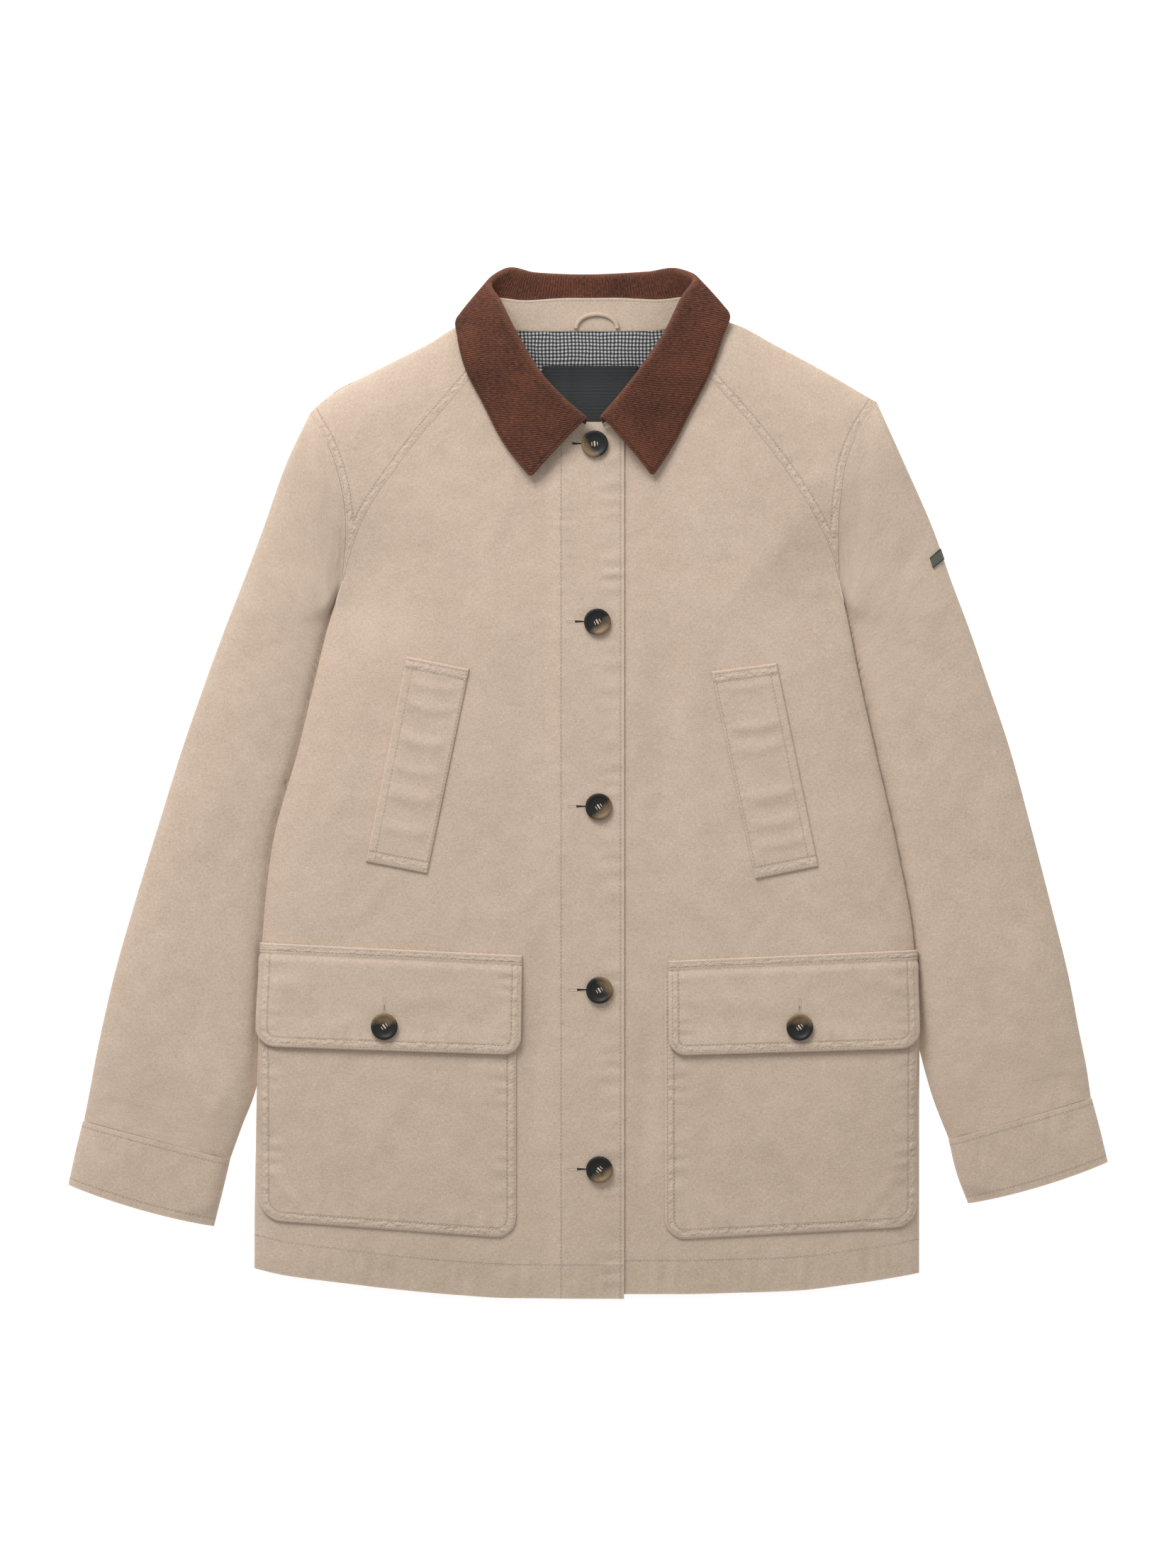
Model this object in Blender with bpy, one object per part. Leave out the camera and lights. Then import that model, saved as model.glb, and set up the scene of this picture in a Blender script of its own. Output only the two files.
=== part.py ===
"""Barn jacket, laid flat on its back with the front up and the collar towards +Y.

Tables hold millimetres, measured on the garment as it lies: x along the width, y up the body,
z above the surface. A column named for a side holds the reach out from the centre line.
Sides are the wearer's: right is -X, left is +X. The meshes are made in metres.
"""
import math

import bmesh
import bpy
import numpy as np

MM = 0.001


def table(columns, *rows):
    """A short table with named columns."""
    return {name: np.array(values, float) for name, values in zip(columns.split(), zip(*rows))}


# Cloth and gaps
SHELL = 1.5            # canvas of the body and sleeves, with its lining
DOUBLE = 1.8           # flaps, welts, stand and collar
CUFF_WALL = 2.0
THIN = 1.0             # lining, label, badge
SEAM = 0.3             # between pieces that meet
STACK = 0.3            # between a piece and what it lies on

# Body: outline from above, and how high the front lies over the back
ARMPIT_Y = 150
SIDE_EDGE = table("y right left",
                  (-400, 250, 248), (-362, 250, 248), (-195, 247, 248), (-120, 244, 244),
                  (-50, 237, 232), (30, 216, 214), (80, 204, 203), (120, 194, 195),
                  (150, 184, 188))
SHOULDER_EDGE = {"right": [(-86, 347.5), (-101, 341), (-117, 331), (-158, 310), (-196, 289),
                           (-208, 278)],
                 "left": [(94, 349), (117, 341.5), (136, 331), (175, 310), (204, 293), (216, 286)]}
ARMHOLE = {"right": [(-208, 278), (-194, 253), (-184, 220), (-181, 191), (-183, 163), (-184, 150)],
           "left": [(216, 286), (201, 262), (193, 241), (189, 215), (187, 182), (188, 150)]}
RAGLAN = {"right": [(-72, 324), (-88, 304), (-140, 241), (-170, 194), (-180, 165), (-184, 150)],
          "left": [(77, 320), (90, 305), (132, 256), (168, 203), (184, 168), (188, 150)]}
FRONT_NECK = table("x y",
                   (-72, 324), (-64, 311), (-52, 297), (-33, 281), (-15, 272.5), (0, 270.5),
                   (10, 270.5), (27, 275), (43, 283), (60, 297), (70, 309.5), (77, 320))
BACK_NECK = table("x y",
                  (-86, 347.5), (-78, 341), (-60, 338), (0, 337.5), (62, 338.5), (84, 343),
                  (94, 349))
FRONT_HEM = table("x y",
                  (-250, -362.5), (-227, -367.5), (-185, -373), (-143, -378), (-100, -382),
                  (-58, -384.5), (27, -385))
UNDER_HEM = table("x y",
                  (-20, -381.5), (69, -381.5), (112, -380.5), (154, -379), (197, -374),
                  (218, -371), (248, -366))
BACK_HEM = table("x y", (-250, -361.5), (-150, -376), (0, -380), (110, -379), (200, -373),
                 (248, -365))
LOFT = table("y rise",
             (-390, 9.5), (-345, 13.5), (-260, 17), (-100, 19), (100, 19), (170, 17.5),
             (240, 16.5), (290, 15), (350, 11))
ARMPIT_DIP = 9         # how far the front sinks at the armpit
ARMPIT_SPREAD = 42
SIDE_ROLL = 70         # width over which the front rounds down to the side edge
SHOULDER_ROLL = 42
PLACKET_EDGE = 27      # the right front laps to here
UNDERLAP_EDGE = -18    # and the left front runs under it to here
PLACKET_RISE = 1.8
PLACKET_RAMP = (-32, -20)

# What lifts the back panel: the sleeve tucked under each side, and the collar under the neck
TUCK_LIFT = 5.3
TUCK_WIDTH = (58, 100)
TUCK_TOP = (122, 150)
TUCK_FOOT = {"right": (-275, -235), "left": (-245, -205)}
NECK_LIFT = 2.6
NECK_LIFT_Y = (298, 328)
NECK_LIFT_X = (104, 134)

# The largest folds of the front: centre, lean from +Y in degrees, half length, half width, rise
BODY_FOLDS = table("x y lean length width rise",
                   (56, 30, 0, 150, 12, -1.6), (78, 20, 1, 150, 13, 1.4),
                   (36, 60, -1, 110, 12, 1.0), (-50, 0, 1, 120, 13, -1.2),
                   (-76, 40, 3, 120, 14, 1.0), (150, 190, 38, 110, 13, 1.3),
                   (-120, 205, -40, 70, 14, 1.0), (205, 40, 10, 90, 13, -1.2),
                   (-205, -60, -12, 70, 14, -1.0), (120, -60, 35, 40, 13, 0.9))

# Sleeves, from the armhole down: outer edge, inner edge (tucked under the body), crest height
SLEEVE = {
    "right": table("outer_x outer_y inner_x inner_y crest",
                   (-208.5, 278, -184.6, 150, 15), (-226, 240, -189.9, 135, 14),
                   (-243, 192, -190.5, 119, 13.5), (-258, 152, -183, 93, 13.5),
                   (-272, 116, -171, 60, 14), (-286, 78, -167, 28, 14),
                   (-303, 29, -179, -14, 13.5), (-319, -22, -200, -60, 13.5),
                   (-338, -84, -223, -122, 13), (-354, -140, -237, -178, 12.5),
                   (-366, -192, -248.5, -228, 12), (-373, -229, -259, -256, 11.5),
                   (-377.5, -252, -268, -281, 11)),
    "left": table("outer_x outer_y inner_x inner_y crest",
                  (216.5, 286, 188.6, 150, 15), (236.5, 241, 192.2, 135, 14),
                  (257.5, 193, 191.8, 119, 13.5), (272, 152, 185, 93, 13.5),
                  (285.5, 116, 173, 60, 14), (298.5, 78, 169, 28, 14),
                  (315, 29, 182, -14, 13.5), (329, -22, 202, -56, 13.5),
                  (345, -84, 224, -112, 13), (359, -140, 238, -160, 12.5),
                  (367.5, -184, 247.8, -198, 12), (373, -211, 257.8, -234, 11.5),
                  (376.5, -235, 270.2, -266, 11))}
SLEEVE_FOLDS = table("x y lean length width rise",
                     (-250, 130, -20, 70, 12, 1.4), (-290, 20, -14, 60, 12, -1.3),
                     (-330, -110, -20, 60, 12, 1.2), (-232, 175, -30, 45, 10, -1.6),
                     (262, 140, 20, 70, 12, 1.4), (300, 10, 16, 60, 12, -1.3),
                     (338, -120, 20, 60, 12, 1.2), (240, 170, 28, 45, 10, -1.6))
TUCK_THICK = 4.4       # the sleeve, pressed flat under the body
FOLD_MIDDLE = 2.3      # height of a sleeve's folded edge
OUTER_ROLL = 45        # width over which the upper face rounds down to the outer edge
INNER_ROLL = (12, 35)  # and to the inner edge: under the body, and at the cuff
INNER_ROLL_FROM = 0.72
EDGE_ROLL = 4          # and the lower face up to both edges
FREE_WIDTH = (4, 79)   # out from the body's side, the sleeve is free to rise
FREE_RISE = 26
FREE_TOP = (ARMPIT_Y - 15, ARMPIT_Y + 35)
TOP_RISE = 40
LIMIT_BLEND = 2
CUFF = {
    "right": table("outer_x outer_y inner_x inner_y crest",
                   (-378.5, -252.4, -267.6, -281.4, 12.2), (-384, -276, -273.5, -305, 12.6),
                   (-389.2, -300, -280, -331, 12)),
    "left": table("outer_x outer_y inner_x inner_y crest",
                  (377.5, -235.4, 269.6, -266.4, 12.2), (383.5, -259, 275.8, -291, 12.6),
                  (389.2, -283, 284.5, -314, 12))}
CUFF_BOW = 3           # how far the cuff's mouth bows down

# Collar, from the right front's corner round the neck to the left front's corner:
# neck seam (seam_), roll line (roll_) and leaf edge (leaf_)
COLLAR = table("seam_x seam_y seam_z roll_x roll_y roll_z leaf_x leaf_y leaf_z",
               (-2.5, 266.5, 20.6, -0.5, 272.5, 26.5, -43, 228.5, 23.2),
               (-34, 277.5, 18.2, -20, 289.5, 28.5, -64, 256, 19.4),
               (-55, 293, 17.4, -37, 308.5, 29.5, -79, 285, 18.2),
               (-70, 310, 16.2, -54, 337, 27, -91.5, 309.5, 17.4),
               (-81, 331, 14, -66, 361, 21.5, -97.5, 333, 14.6),
               (-82.5, 351, 8, -73, 375.5, 12.5, -97.6, 348, 8.8),
               (-78, 343.2, 3.8, -62, 384.5, 6.2, -84, 348, 1.25),
               (-52, 339.4, 3.8, -40, 382.2, 5.3, -50, 337, 1.2),
               (-2, 338.8, 3.8, -2, 380.6, 5.2, 0, 333, 1.2),
               (54, 339.8, 3.8, 44, 382.7, 5.3, 54, 337, 1.2),
               (84, 346, 3.8, 68, 384.5, 6.2, 90, 350, 1.25),
               (89.5, 354, 8, 79, 379, 12.5, 105, 352, 8.8),
               (87, 331, 14, 70.5, 363.5, 21.5, 99.8, 331, 14.6),
               (76.5, 309, 16.2, 59, 339.5, 27, 91, 306.5, 17.6),
               (62, 292.5, 17.4, 43.5, 315.5, 29.5, 76.5, 278, 18.6),
               (44, 279, 18, 29, 296.5, 28.5, 64.5, 254.5, 19.6),
               (11.5, 266.8, 20.6, 9.5, 273.5, 26.5, 48.5, 229.5, 22.6))
STAND_SHARE = (0.63, 0.54)   # of the way from the neck seam to the roll line: mid back, elsewhere
STAND_BACK = (0.03, 0.14)    # stations from mid back over which it changes
STRIP_GAP = 0.9        # between the stand and the corduroy above it, wide enough for the corners
ROLL_RADIUS = 1.75
LEAF_FLOOR = 1.2       # the leaf's middle, where it lies under the neck
LEAF_CROWN = 1.6       # how far the leaf bulges between roll and edge
LEAF_PROUD = (6, 22)   # roll height over which the leaf comes to stand proud

# Lining, label and loop inside the back neck
LINING_X = (-82, 88)
LINING_FOOT_Y = 245    # it ends here, out of sight under the fronts
LINING_SHORT = 0.5     # and this far below the back's own neck edge
LABEL = {"x": 2, "top": 313, "width": 71, "height": 45}
LOOP = {"x": 6.5, "foot_y": 341, "span": 31, "rise": 10.5, "width": 3.2, "thick": 1.8}

# Patch pockets and flaps: corners at top outer, top inner, bottom inner, bottom outer
POCKET = {"right": [(-245.5, -134), (-53.5, -141), (-53.5, -340), (-245, -326)],
          "left": [(246, -138), (57, -145), (57.5, -341), (245.5, -331)]}
POCKET_CORNER = 16
PATCH_EASE = 0.5       # a patch stands this much further off where the front rounds down
EASE_SHARES = (0, 0.2)
FLAP = {"right": [(-243.5, -118.5), (-49, -128), (-50.5, -202.5), (-246, -196)],
        "left": [(244.5, -124), (60, -132), (60.5, -203), (246, -197.5)]}
FLAP_CORNER = 13
FLAP_STEP = (6, 13)    # down from its top, the flap steps up over the pocket below the stitched band
FLAP_BAND_RISE = 0.7
WELT = {"right": [(-135.5, 95.5), (-88.5, 86), (-120, -67), (-166, -58)],
        "left": [(92, 84), (141, 90.5), (172, -61.5), (125, -71)]}
WELT_CORNER = 0.01
WELT_PUCKERS = 5
WELT_PUCKER_RISE = 0.7
WELT_BAND = 0.07       # share of the welt's length stitched flat at each end
WELT_START = (0.07, 0.13)

# Buttons: 20 mm across, dished with a rounded rim
BUTTON_RADIUS = 10
BUTTON_THICK = 3.4
BUTTON_PROFILE = [(0, 0), (0.82, 0), (1, 0.3), (1, 0.62), (0.9, 1), (0.76, 0.86), (0, 0.66)]
FRONT_BUTTONS = table("x y", (5, 254), (7, 121), (8, -17), (8.5, -154), (8.5, -288))
FLAP_BUTTONS = {"right": (-152, -181), "left": (158, -181.5)}
# Sleeve badge: where it lies down the left sleeve (shares) and in from the outer edge
BADGE_DOWN = (0.199, 0.2155)
BADGE_IN = (0.6, 11)

# Colours (linear), roughness and metallic value of each material
MATERIALS = {
    "canvas": ((0.60, 0.49, 0.38), 0.85, 0),
    "corduroy": ((0.107, 0.034, 0.019), 0.9, 0),
    "check": ((0.35, 0.35, 0.36), 0.8, 0),
    "label_tape": ((0.010, 0.012, 0.013), 0.7, 0),
    "horn": ((0.022, 0.014, 0.010), 0.3, 0),
    "badge_plate": ((0.02, 0.02, 0.022), 0.45, 0),
}
SIGN = {"right": -1, "left": 1}


# Curves -------------------------------------------------------------------------------------

def step(value):
    """0 below 0, 1 above 1, smooth between."""
    value = np.clip(value, 0, 1)
    return value * value * (3 - 2 * value)


def roll(share):
    """Quarter-round rise from 0 at the edge to 1 at the full share."""
    return np.sqrt(1 - (1 - np.clip(share, 0, 1)) ** 2)


def hermite(at, values, tangents, x):
    """Cubic through values at rising stations, with the given tangents."""
    k = np.clip(np.searchsorted(at, x, side="right") - 1, 0, len(at) - 2)
    span = at[k + 1] - at[k]
    f = (x - at[k]) / span
    if values.ndim > 1:
        f, span = f[..., None], span[..., None]
    return ((2 * f ** 3 - 3 * f ** 2 + 1) * values[k] + (f ** 3 - 2 * f ** 2 + f) * span * tangents[k]
            + (3 * f ** 2 - 2 * f ** 3) * values[k + 1] + (f ** 3 - f ** 2) * span * tangents[k + 1])


def read(at, values, x):
    """Smooth reading of a table column that never overshoots its rows, level past the ends."""
    slopes = np.diff(values) / np.diff(at)
    tangents = np.concatenate([slopes[:1], np.zeros(len(at) - 2), slopes[-1:]])
    turning = slopes[:-1] * slopes[1:] > 0
    inner = tangents[1:-1]
    inner[turning] = 2 / (1 / slopes[:-1][turning] + 1 / slopes[1:][turning])
    return hermite(at, values, tangents, np.clip(np.asarray(x, float), at[0], at[-1]))


def follow(at, values, x):
    """Smooth reading of a table column that follows its rows evenly."""
    return hermite(at, values, np.gradient(values, at), np.asarray(x, float))


def curve(points, shares):
    """Points at the given shares of the length of a smooth curve through the given points."""
    points = np.array(points, float)
    lengths = np.linalg.norm(np.diff(points, axis=0), axis=1)
    at = np.concatenate([[0], np.cumsum(lengths)]) / lengths.sum()
    return hermite(at, points, np.gradient(points, at, axis=0), np.asarray(shares, float))


def between(start, end, share):
    return start + (end - start) * share


def unit(vectors):
    return vectors / np.linalg.norm(vectors, axis=-1, keepdims=True)


def moved_out(side, points, distance):
    """Points of a line that runs down and out from the neck, moved away from the body's middle."""
    along = np.gradient(points, axis=0)
    return points + unit(np.stack([-along[:, 1], along[:, 0]], axis=1)) * SIGN[side] * distance


# Solids -------------------------------------------------------------------------------------

def material(name):
    found = bpy.data.materials.get(name)
    if found:
        return found
    colour, roughness, metallic = MATERIALS[name]
    made = bpy.data.materials.new(name)
    made.use_nodes = True
    made.diffuse_color = (*colour, 1)
    shader = made.node_tree.nodes["Principled BSDF"]
    shader.inputs["Base Color"].default_value = (*colour, 1)
    shader.inputs["Roughness"].default_value = roughness
    shader.inputs["Metallic"].default_value = metallic
    return made


def add_solid(name, points, faces, finish, place=(0, 0, 0)):
    """One closed body, faces outward, at its place; points in millimetres."""
    mesh = bpy.data.meshes.new(name)
    mesh.from_pydata([tuple(point) for point in np.asarray(points) * MM], [], faces)
    shape = bmesh.new()
    shape.from_mesh(mesh)
    bmesh.ops.recalc_face_normals(shape, faces=shape.faces)
    shape.to_mesh(mesh)
    shape.free()
    mesh.shade_smooth()
    mesh.set_sharp_from_angle(angle=math.radians(40))
    solid = bpy.data.objects.new(name, mesh)
    solid.location = [value * MM for value in place]
    solid.data.materials.append(material(finish))
    bpy.context.collection.objects.link(solid)
    return solid


def cloth_wall(name, outer, inner, finish):
    """A cloth wall between two grids of points [row, column], closed round its rim."""
    rows, columns = outer.shape[:2]
    points = np.concatenate([outer.reshape(-1, 3), inner.reshape(-1, 3)])
    layer = rows * columns

    def at(i, j):
        return i * columns + j

    faces = []
    for i in range(rows - 1):
        for j in range(columns - 1):
            quad = (at(i, j), at(i, j + 1), at(i + 1, j + 1), at(i + 1, j))
            faces.append(quad)
            faces.append(tuple(layer + corner for corner in reversed(quad)))
    rim = [at(0, j) for j in range(columns)]
    rim += [at(i, columns - 1) for i in range(1, rows)]
    rim += [at(rows - 1, j) for j in range(columns - 2, -1, -1)]
    rim += [at(i, 0) for i in range(rows - 2, 0, -1)]
    for here, following in zip(rim, rim[1:] + rim[:1]):
        faces.append((following, here, layer + here, layer + following))
    return add_solid(name, points, faces, finish)


def tube_wall(name, outer, inner, finish):
    """A cloth tube between two sets of rings [ring, point round the ring], open at both ends."""
    rings, count = outer.shape[:2]
    points = np.concatenate([outer.reshape(-1, 3), inner.reshape(-1, 3)])
    layer = rings * count
    faces = []
    for i in range(rings - 1):
        for j in range(count):
            k = (j + 1) % count
            quad = (i * count + j, i * count + k, (i + 1) * count + k, (i + 1) * count + j)
            faces.append(quad)
            faces.append(tuple(layer + corner for corner in reversed(quad)))
    for first in (0, (rings - 1) * count):
        for j in range(count):
            k = (j + 1) % count
            faces.append((first + k, first + j, layer + first + j, layer + first + k))
    return add_solid(name, points, faces, finish)


# The body's two layers ----------------------------------------------------------------------

def reach(x, y):
    """How far the body reaches out at this height, on the side of x."""
    right = read(SIDE_EDGE["y"], SIDE_EDGE["right"], y)
    left = read(SIDE_EDGE["y"], SIDE_EDGE["left"], y)
    return np.where(x < 0, right, left)


def ramp(value, limits):
    return step((value - limits[0]) / (limits[1] - limits[0]))


def lift(x, y):
    """Height of the back panel's underside."""
    from_side = reach(x, y) - np.abs(x)
    foot = np.where(x < 0, ramp(y, TUCK_FOOT["right"]), ramp(y, TUCK_FOOT["left"]))
    over_sleeve = TUCK_LIFT * foot * (1 - ramp(y, TUCK_TOP)) * (1 - ramp(from_side, TUCK_WIDTH))
    over_collar = NECK_LIFT * ramp(y, NECK_LIFT_Y) * (1 - ramp(np.abs(x), NECK_LIFT_X))
    return over_sleeve + over_collar


def folds(x, y, rows):
    """Soft ridges and troughs, each fading out along its length."""
    height = np.zeros_like(x)
    for fold_x, fold_y, lean, length, width, rise in zip(*rows.values()):
        angle = math.radians(lean)
        along = (x - fold_x) * math.sin(angle) + (y - fold_y) * math.cos(angle)
        across = (x - fold_x) * math.cos(angle) - (y - fold_y) * math.sin(angle)
        height += rise * np.exp(-(across / width) ** 2) * (1 - step(np.abs(along) / length))
    return height


def below_shoulder(x, y):
    """Distance in from the shoulder edge."""
    distance = []
    for side in ("right", "left"):
        edge = np.array(SHOULDER_EDGE[side])
        out = np.abs(edge[:, 0])
        slope = (edge[-1, 1] - edge[0, 1]) / (out[-1] - out[0])
        height = read(out, edge[:, 1], np.abs(x))
        height = height + slope * np.minimum(np.abs(x) - out[0], 0)
        distance.append((height - y) * math.cos(math.atan(slope)))
    return np.where(x < 0, distance[0], distance[1])


def front_height(x, y, depth=0.0):
    """Height of the front's face, or of a face this far under it."""
    x, y = np.asarray(x, float), np.asarray(y, float)
    full = read(LOFT["y"], LOFT["rise"], y) + folds(x, y, BODY_FOLDS)
    armpit_x = np.where(x < 0, ARMHOLE["right"][-1][0], ARMHOLE["left"][-1][0])
    from_armpit = np.hypot(x - armpit_x, y - ARMPIT_Y) / ARMPIT_SPREAD
    full = full - ARMPIT_DIP * np.exp(-from_armpit ** 2) - depth
    seat = lift(x, y) + SHELL + STACK
    side = 1 - ramp(y, TUCK_TOP)
    seat_side = between(full, seat, side)
    height = seat_side + (full - seat_side) * roll((reach(x, y) - depth - np.abs(x)) / SIDE_ROLL)
    return seat + (height - seat) * roll((below_shoulder(x, y) - depth) / SHOULDER_ROLL)


def placket_rise(x):
    """The right front is raised where it laps over the left one."""
    return PLACKET_RISE * ramp(x, PLACKET_RAMP)


SIDE_ROWS_Y = [-340, -305, -275, -255, -232, -208, -190, -155, -118, -80, -40, 0, 40, 80, 108, 122, 136,
               ARMPIT_Y]
EDGE_SHARES = np.array([0, 0.004, 0.015, 0.04, 0.08, 0.14, 0.22, 0.33, 0.48, 0.65, 0.82, 1])
ARMHOLE_SHARES = np.array([0, 0.012, 0.05, 0.12, 0.24, 0.4, 0.56, 0.72, 0.86, 0.95, 1])
FOLD_SHARES = np.linspace(0, 1, 6)
RAGLAN_SHARES = np.concatenate([np.linspace(0, 0.5, 6)[:-1], between(0.5, 1, ARMHOLE_SHARES)])


FRONT_COLUMNS = {"right": [-32, -26, -20, 3, PLACKET_EDGE], "left": [30, 6, UNDERLAP_EDGE]}
PANEL_SHARES = np.array([0, 0.3, 0.56, 0.76, 0.89, 0.97, 1])
BACK_SHARES = np.array([0, 0.06, 0.12, 0.16, 0.2, 0.33, 0.5, 0.67, 0.8, 0.84, 0.88, 0.94, 1])


def front_plan(side, depth):
    """Plan of one front: rows from hem to neck, columns from the side to the centre edge."""
    sign = SIGN[side]
    hem = FRONT_HEM if side == "right" else UNDER_HEM
    inner_columns = FRONT_COLUMNS[side]
    start = SIDE_EDGE[side][1] * sign
    side_foot = float(read(hem["x"], hem["y"], start))
    side_rows = np.array([side_foot] + SIDE_ROWS_Y)
    side_x = sign * (read(SIDE_EDGE["y"], SIDE_EDGE[side], side_rows) - depth)
    raglan = moved_out(side, curve(RAGLAN[side], RAGLAN_SHARES), -SEAM / 2)[::-1]
    plan = []
    for row, foot_share in enumerate((side_rows - side_foot) / (ARMPIT_Y - side_foot)):
        x = between(side_x[row], inner_columns[0], EDGE_SHARES)
        x = np.concatenate([x, inner_columns[1:]])
        plan.append(np.stack([x, between(read(hem["x"], hem["y"], x), ARMPIT_Y, foot_share)], axis=1))
    neck_y = read(FRONT_NECK["x"], FRONT_NECK["y"], np.array(inner_columns, float))
    neck_x = between(raglan[-1][0], inner_columns[0], EDGE_SHARES)
    neck_chord = between(raglan[-1][1], neck_y[0], EDGE_SHARES)
    bow = read(FRONT_NECK["x"], FRONT_NECK["y"], neck_x) - neck_chord
    height = np.linalg.norm(raglan - raglan[0], axis=1)
    for corner, share in zip(raglan[1:], height[1:] / height[-1]):
        inner_y = between(ARMPIT_Y, neck_y, share)
        x = between(corner[0], inner_columns[0], EDGE_SHARES)
        y = between(corner[1], inner_y[0], EDGE_SHARES) + bow * share ** 2
        x, y = np.concatenate([x, inner_columns[1:]]), np.concatenate([y, inner_y[1:]])
        plan.append(np.stack([x, y], axis=1))
    return np.array(plan)


def front_panel(side):
    faces = []
    for depth in (0, SHELL):
        plan = front_plan(side, depth)
        x, y = plan[..., 0], plan[..., 1]
        z = front_height(x, y, depth)
        if side == "right":
            z = z + placket_rise(x)
        faces.append(np.stack([x, y, z], axis=-1))
    cloth_wall("front_" + side, *faces, "canvas")


def armhole_line(side, depth, shift):
    """The armhole from shoulder tip to armpit; a deeper face starts further in."""
    start = depth / np.linalg.norm(np.diff(ARMHOLE[side], axis=0), axis=1).sum()
    points = curve(ARMHOLE[side], between(start, 1, ARMHOLE_SHARES))
    points[:, 0] -= SIGN[side] * shift
    return points


def shoulder_panel(side):
    """Split-raglan panel between the raglan seam, the shoulder edge and the armhole.

    Its two seams meet at the armpit, so its tip ends one row above it.
    """
    faces = []
    for depth in (0, SHELL):
        fold = moved_out(side, curve(SHOULDER_EDGE[side], FOLD_SHARES), -depth)
        outer = np.concatenate([fold[:-1], armhole_line(side, depth, SEAM / 2)])
        inner = moved_out(side, curve(RAGLAN[side], RAGLAN_SHARES), SEAM / 2)
        plan = between(inner[:, None, :], outer[:, None, :], PANEL_SHARES[None, :, None])[:-1]
        x, y = plan[..., 0], plan[..., 1]
        faces.append(np.stack([x, y, front_height(x, y, depth)], axis=-1))
    cloth_wall("shoulder_" + side, *faces, "canvas")


def back_panel():
    """The whole back, from hem to neck, lifted over the tucked sleeves and the collar."""
    edges = []
    for side in ("right", "left"):
        hem_y = float(read(BACK_HEM["x"], BACK_HEM["y"], SIGN[side] * 249))
        rows = np.array([hem_y] + SIDE_ROWS_Y[:-1])
        edge = np.stack([SIGN[side] * read(SIDE_EDGE["y"], SIDE_EDGE[side], rows), rows], axis=1)
        armhole = armhole_line(side, 0, SEAM / 2)[::-1]
        fold = curve(SHOULDER_EDGE[side], FOLD_SHARES)[::-1]
        edges.append(np.concatenate([edge, armhole, fold[1:]]))
    right, left = edges
    plan = between(right[:, None, :], left[:, None, :], BACK_SHARES[None, :, None])
    height = np.linspace(0, 1, len(right))[:, None]
    hem = read(BACK_HEM["x"], BACK_HEM["y"], plan[0, :, 0]) - plan[0, :, 1]
    neck = read(BACK_NECK["x"], BACK_NECK["y"], plan[-1, :, 0]) - plan[-1, :, 1]
    plan[..., 1] += hem * (1 - height) ** 6 + neck * ramp(height, (0.7, 1)) ** 3
    x, y = plan[..., 0], plan[..., 1]
    z = lift(x, y)
    cloth_wall("back", np.stack([x, y, z + SHELL], axis=-1), np.stack([x, y, z], axis=-1), "canvas")


# Sleeves and cuffs --------------------------------------------------------------------------

def tuck_limit(x, y):
    """Height that the sleeve keeps under, where the body lies on it."""
    outside = np.abs(x) - reach(x, y)
    return TUCK_THICK + FREE_RISE * ramp(outside, FREE_WIDTH) + TOP_RISE * ramp(y, FREE_TOP)


def section_ends(rows, share):
    """Outer edge, inner edge and crest height of a sleeve at a share of its length."""
    at = np.linspace(0, 1, len(rows["crest"]))
    row = [float(follow(at, rows[key], share)) for key in rows]
    return np.array(row[:2]), np.array(row[2:4]), row[4]


def sleeve_top(x, y, crest, from_outer, from_inner, share, depth):
    """Height of a sleeve's upper face, or of a face this far under it."""
    inner_roll = between(*INNER_ROLL, ramp(share, (INNER_ROLL_FROM, 1)))
    full = crest - depth + folds(x, y, SLEEVE_FOLDS)
    limit = tuck_limit(x, y) - depth
    full = (full + limit - np.sqrt((full - limit) ** 2 + LIMIT_BLEND ** 2)) / 2
    full = np.maximum(full, FOLD_MIDDLE + SEAM) - FOLD_MIDDLE
    return FOLD_MIDDLE + full * roll(from_outer / OUTER_ROLL) * roll(from_inner / inner_roll)


def ring(side, rows, share, depth, armhole_share):
    """Points round one section of a sleeve: the upper face out to in, the lower face back."""
    outer, inner, crest = section_ends(rows, share)
    width = np.linalg.norm(inner - outer)
    shares = between(depth / width, 1 - depth / width, ARMHOLE_SHARES)
    plan = between(outer[None, :], inner[None, :], shares[:, None])
    if armhole_share > 0:
        seam = curve(ARMHOLE[side], shares)
        seam[:, 0] += SIGN[side] * SEAM / 2
        chord = between(seam[0][None, :], seam[-1][None, :], shares[:, None])
        plan = plan + (seam - chord) * armhole_share
    x, y = plan[:, 0], plan[:, 1]
    from_outer = shares * width - depth
    from_inner = (1 - shares) * width - depth
    top = sleeve_top(x, y, crest, from_outer, from_inner, share, depth)
    if armhole_share > 0:
        body = np.maximum(front_height(x - SIGN[side] * SEAM, y, depth), FOLD_MIDDLE)
        body = between(FOLD_MIDDLE, body, roll(from_outer / 2))
        top = between(top, body, step(armhole_share))
    bottom = between(FOLD_MIDDLE, depth, roll(np.minimum(from_outer, from_inner) / EDGE_ROLL))
    upper = np.stack([x, y, top], axis=1)
    lower = np.stack([x, y, bottom], axis=1)[-2:0:-1]
    return np.concatenate([upper, lower])


SLEEVE_SHARES = np.concatenate([[0, 0.03, 0.06, 0.09, 0.12, 0.155], np.linspace(0.2, 1, 15)])
ARMHOLE_REACH = 0.155  # share of the sleeve over which it takes up the armhole's curve


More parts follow.
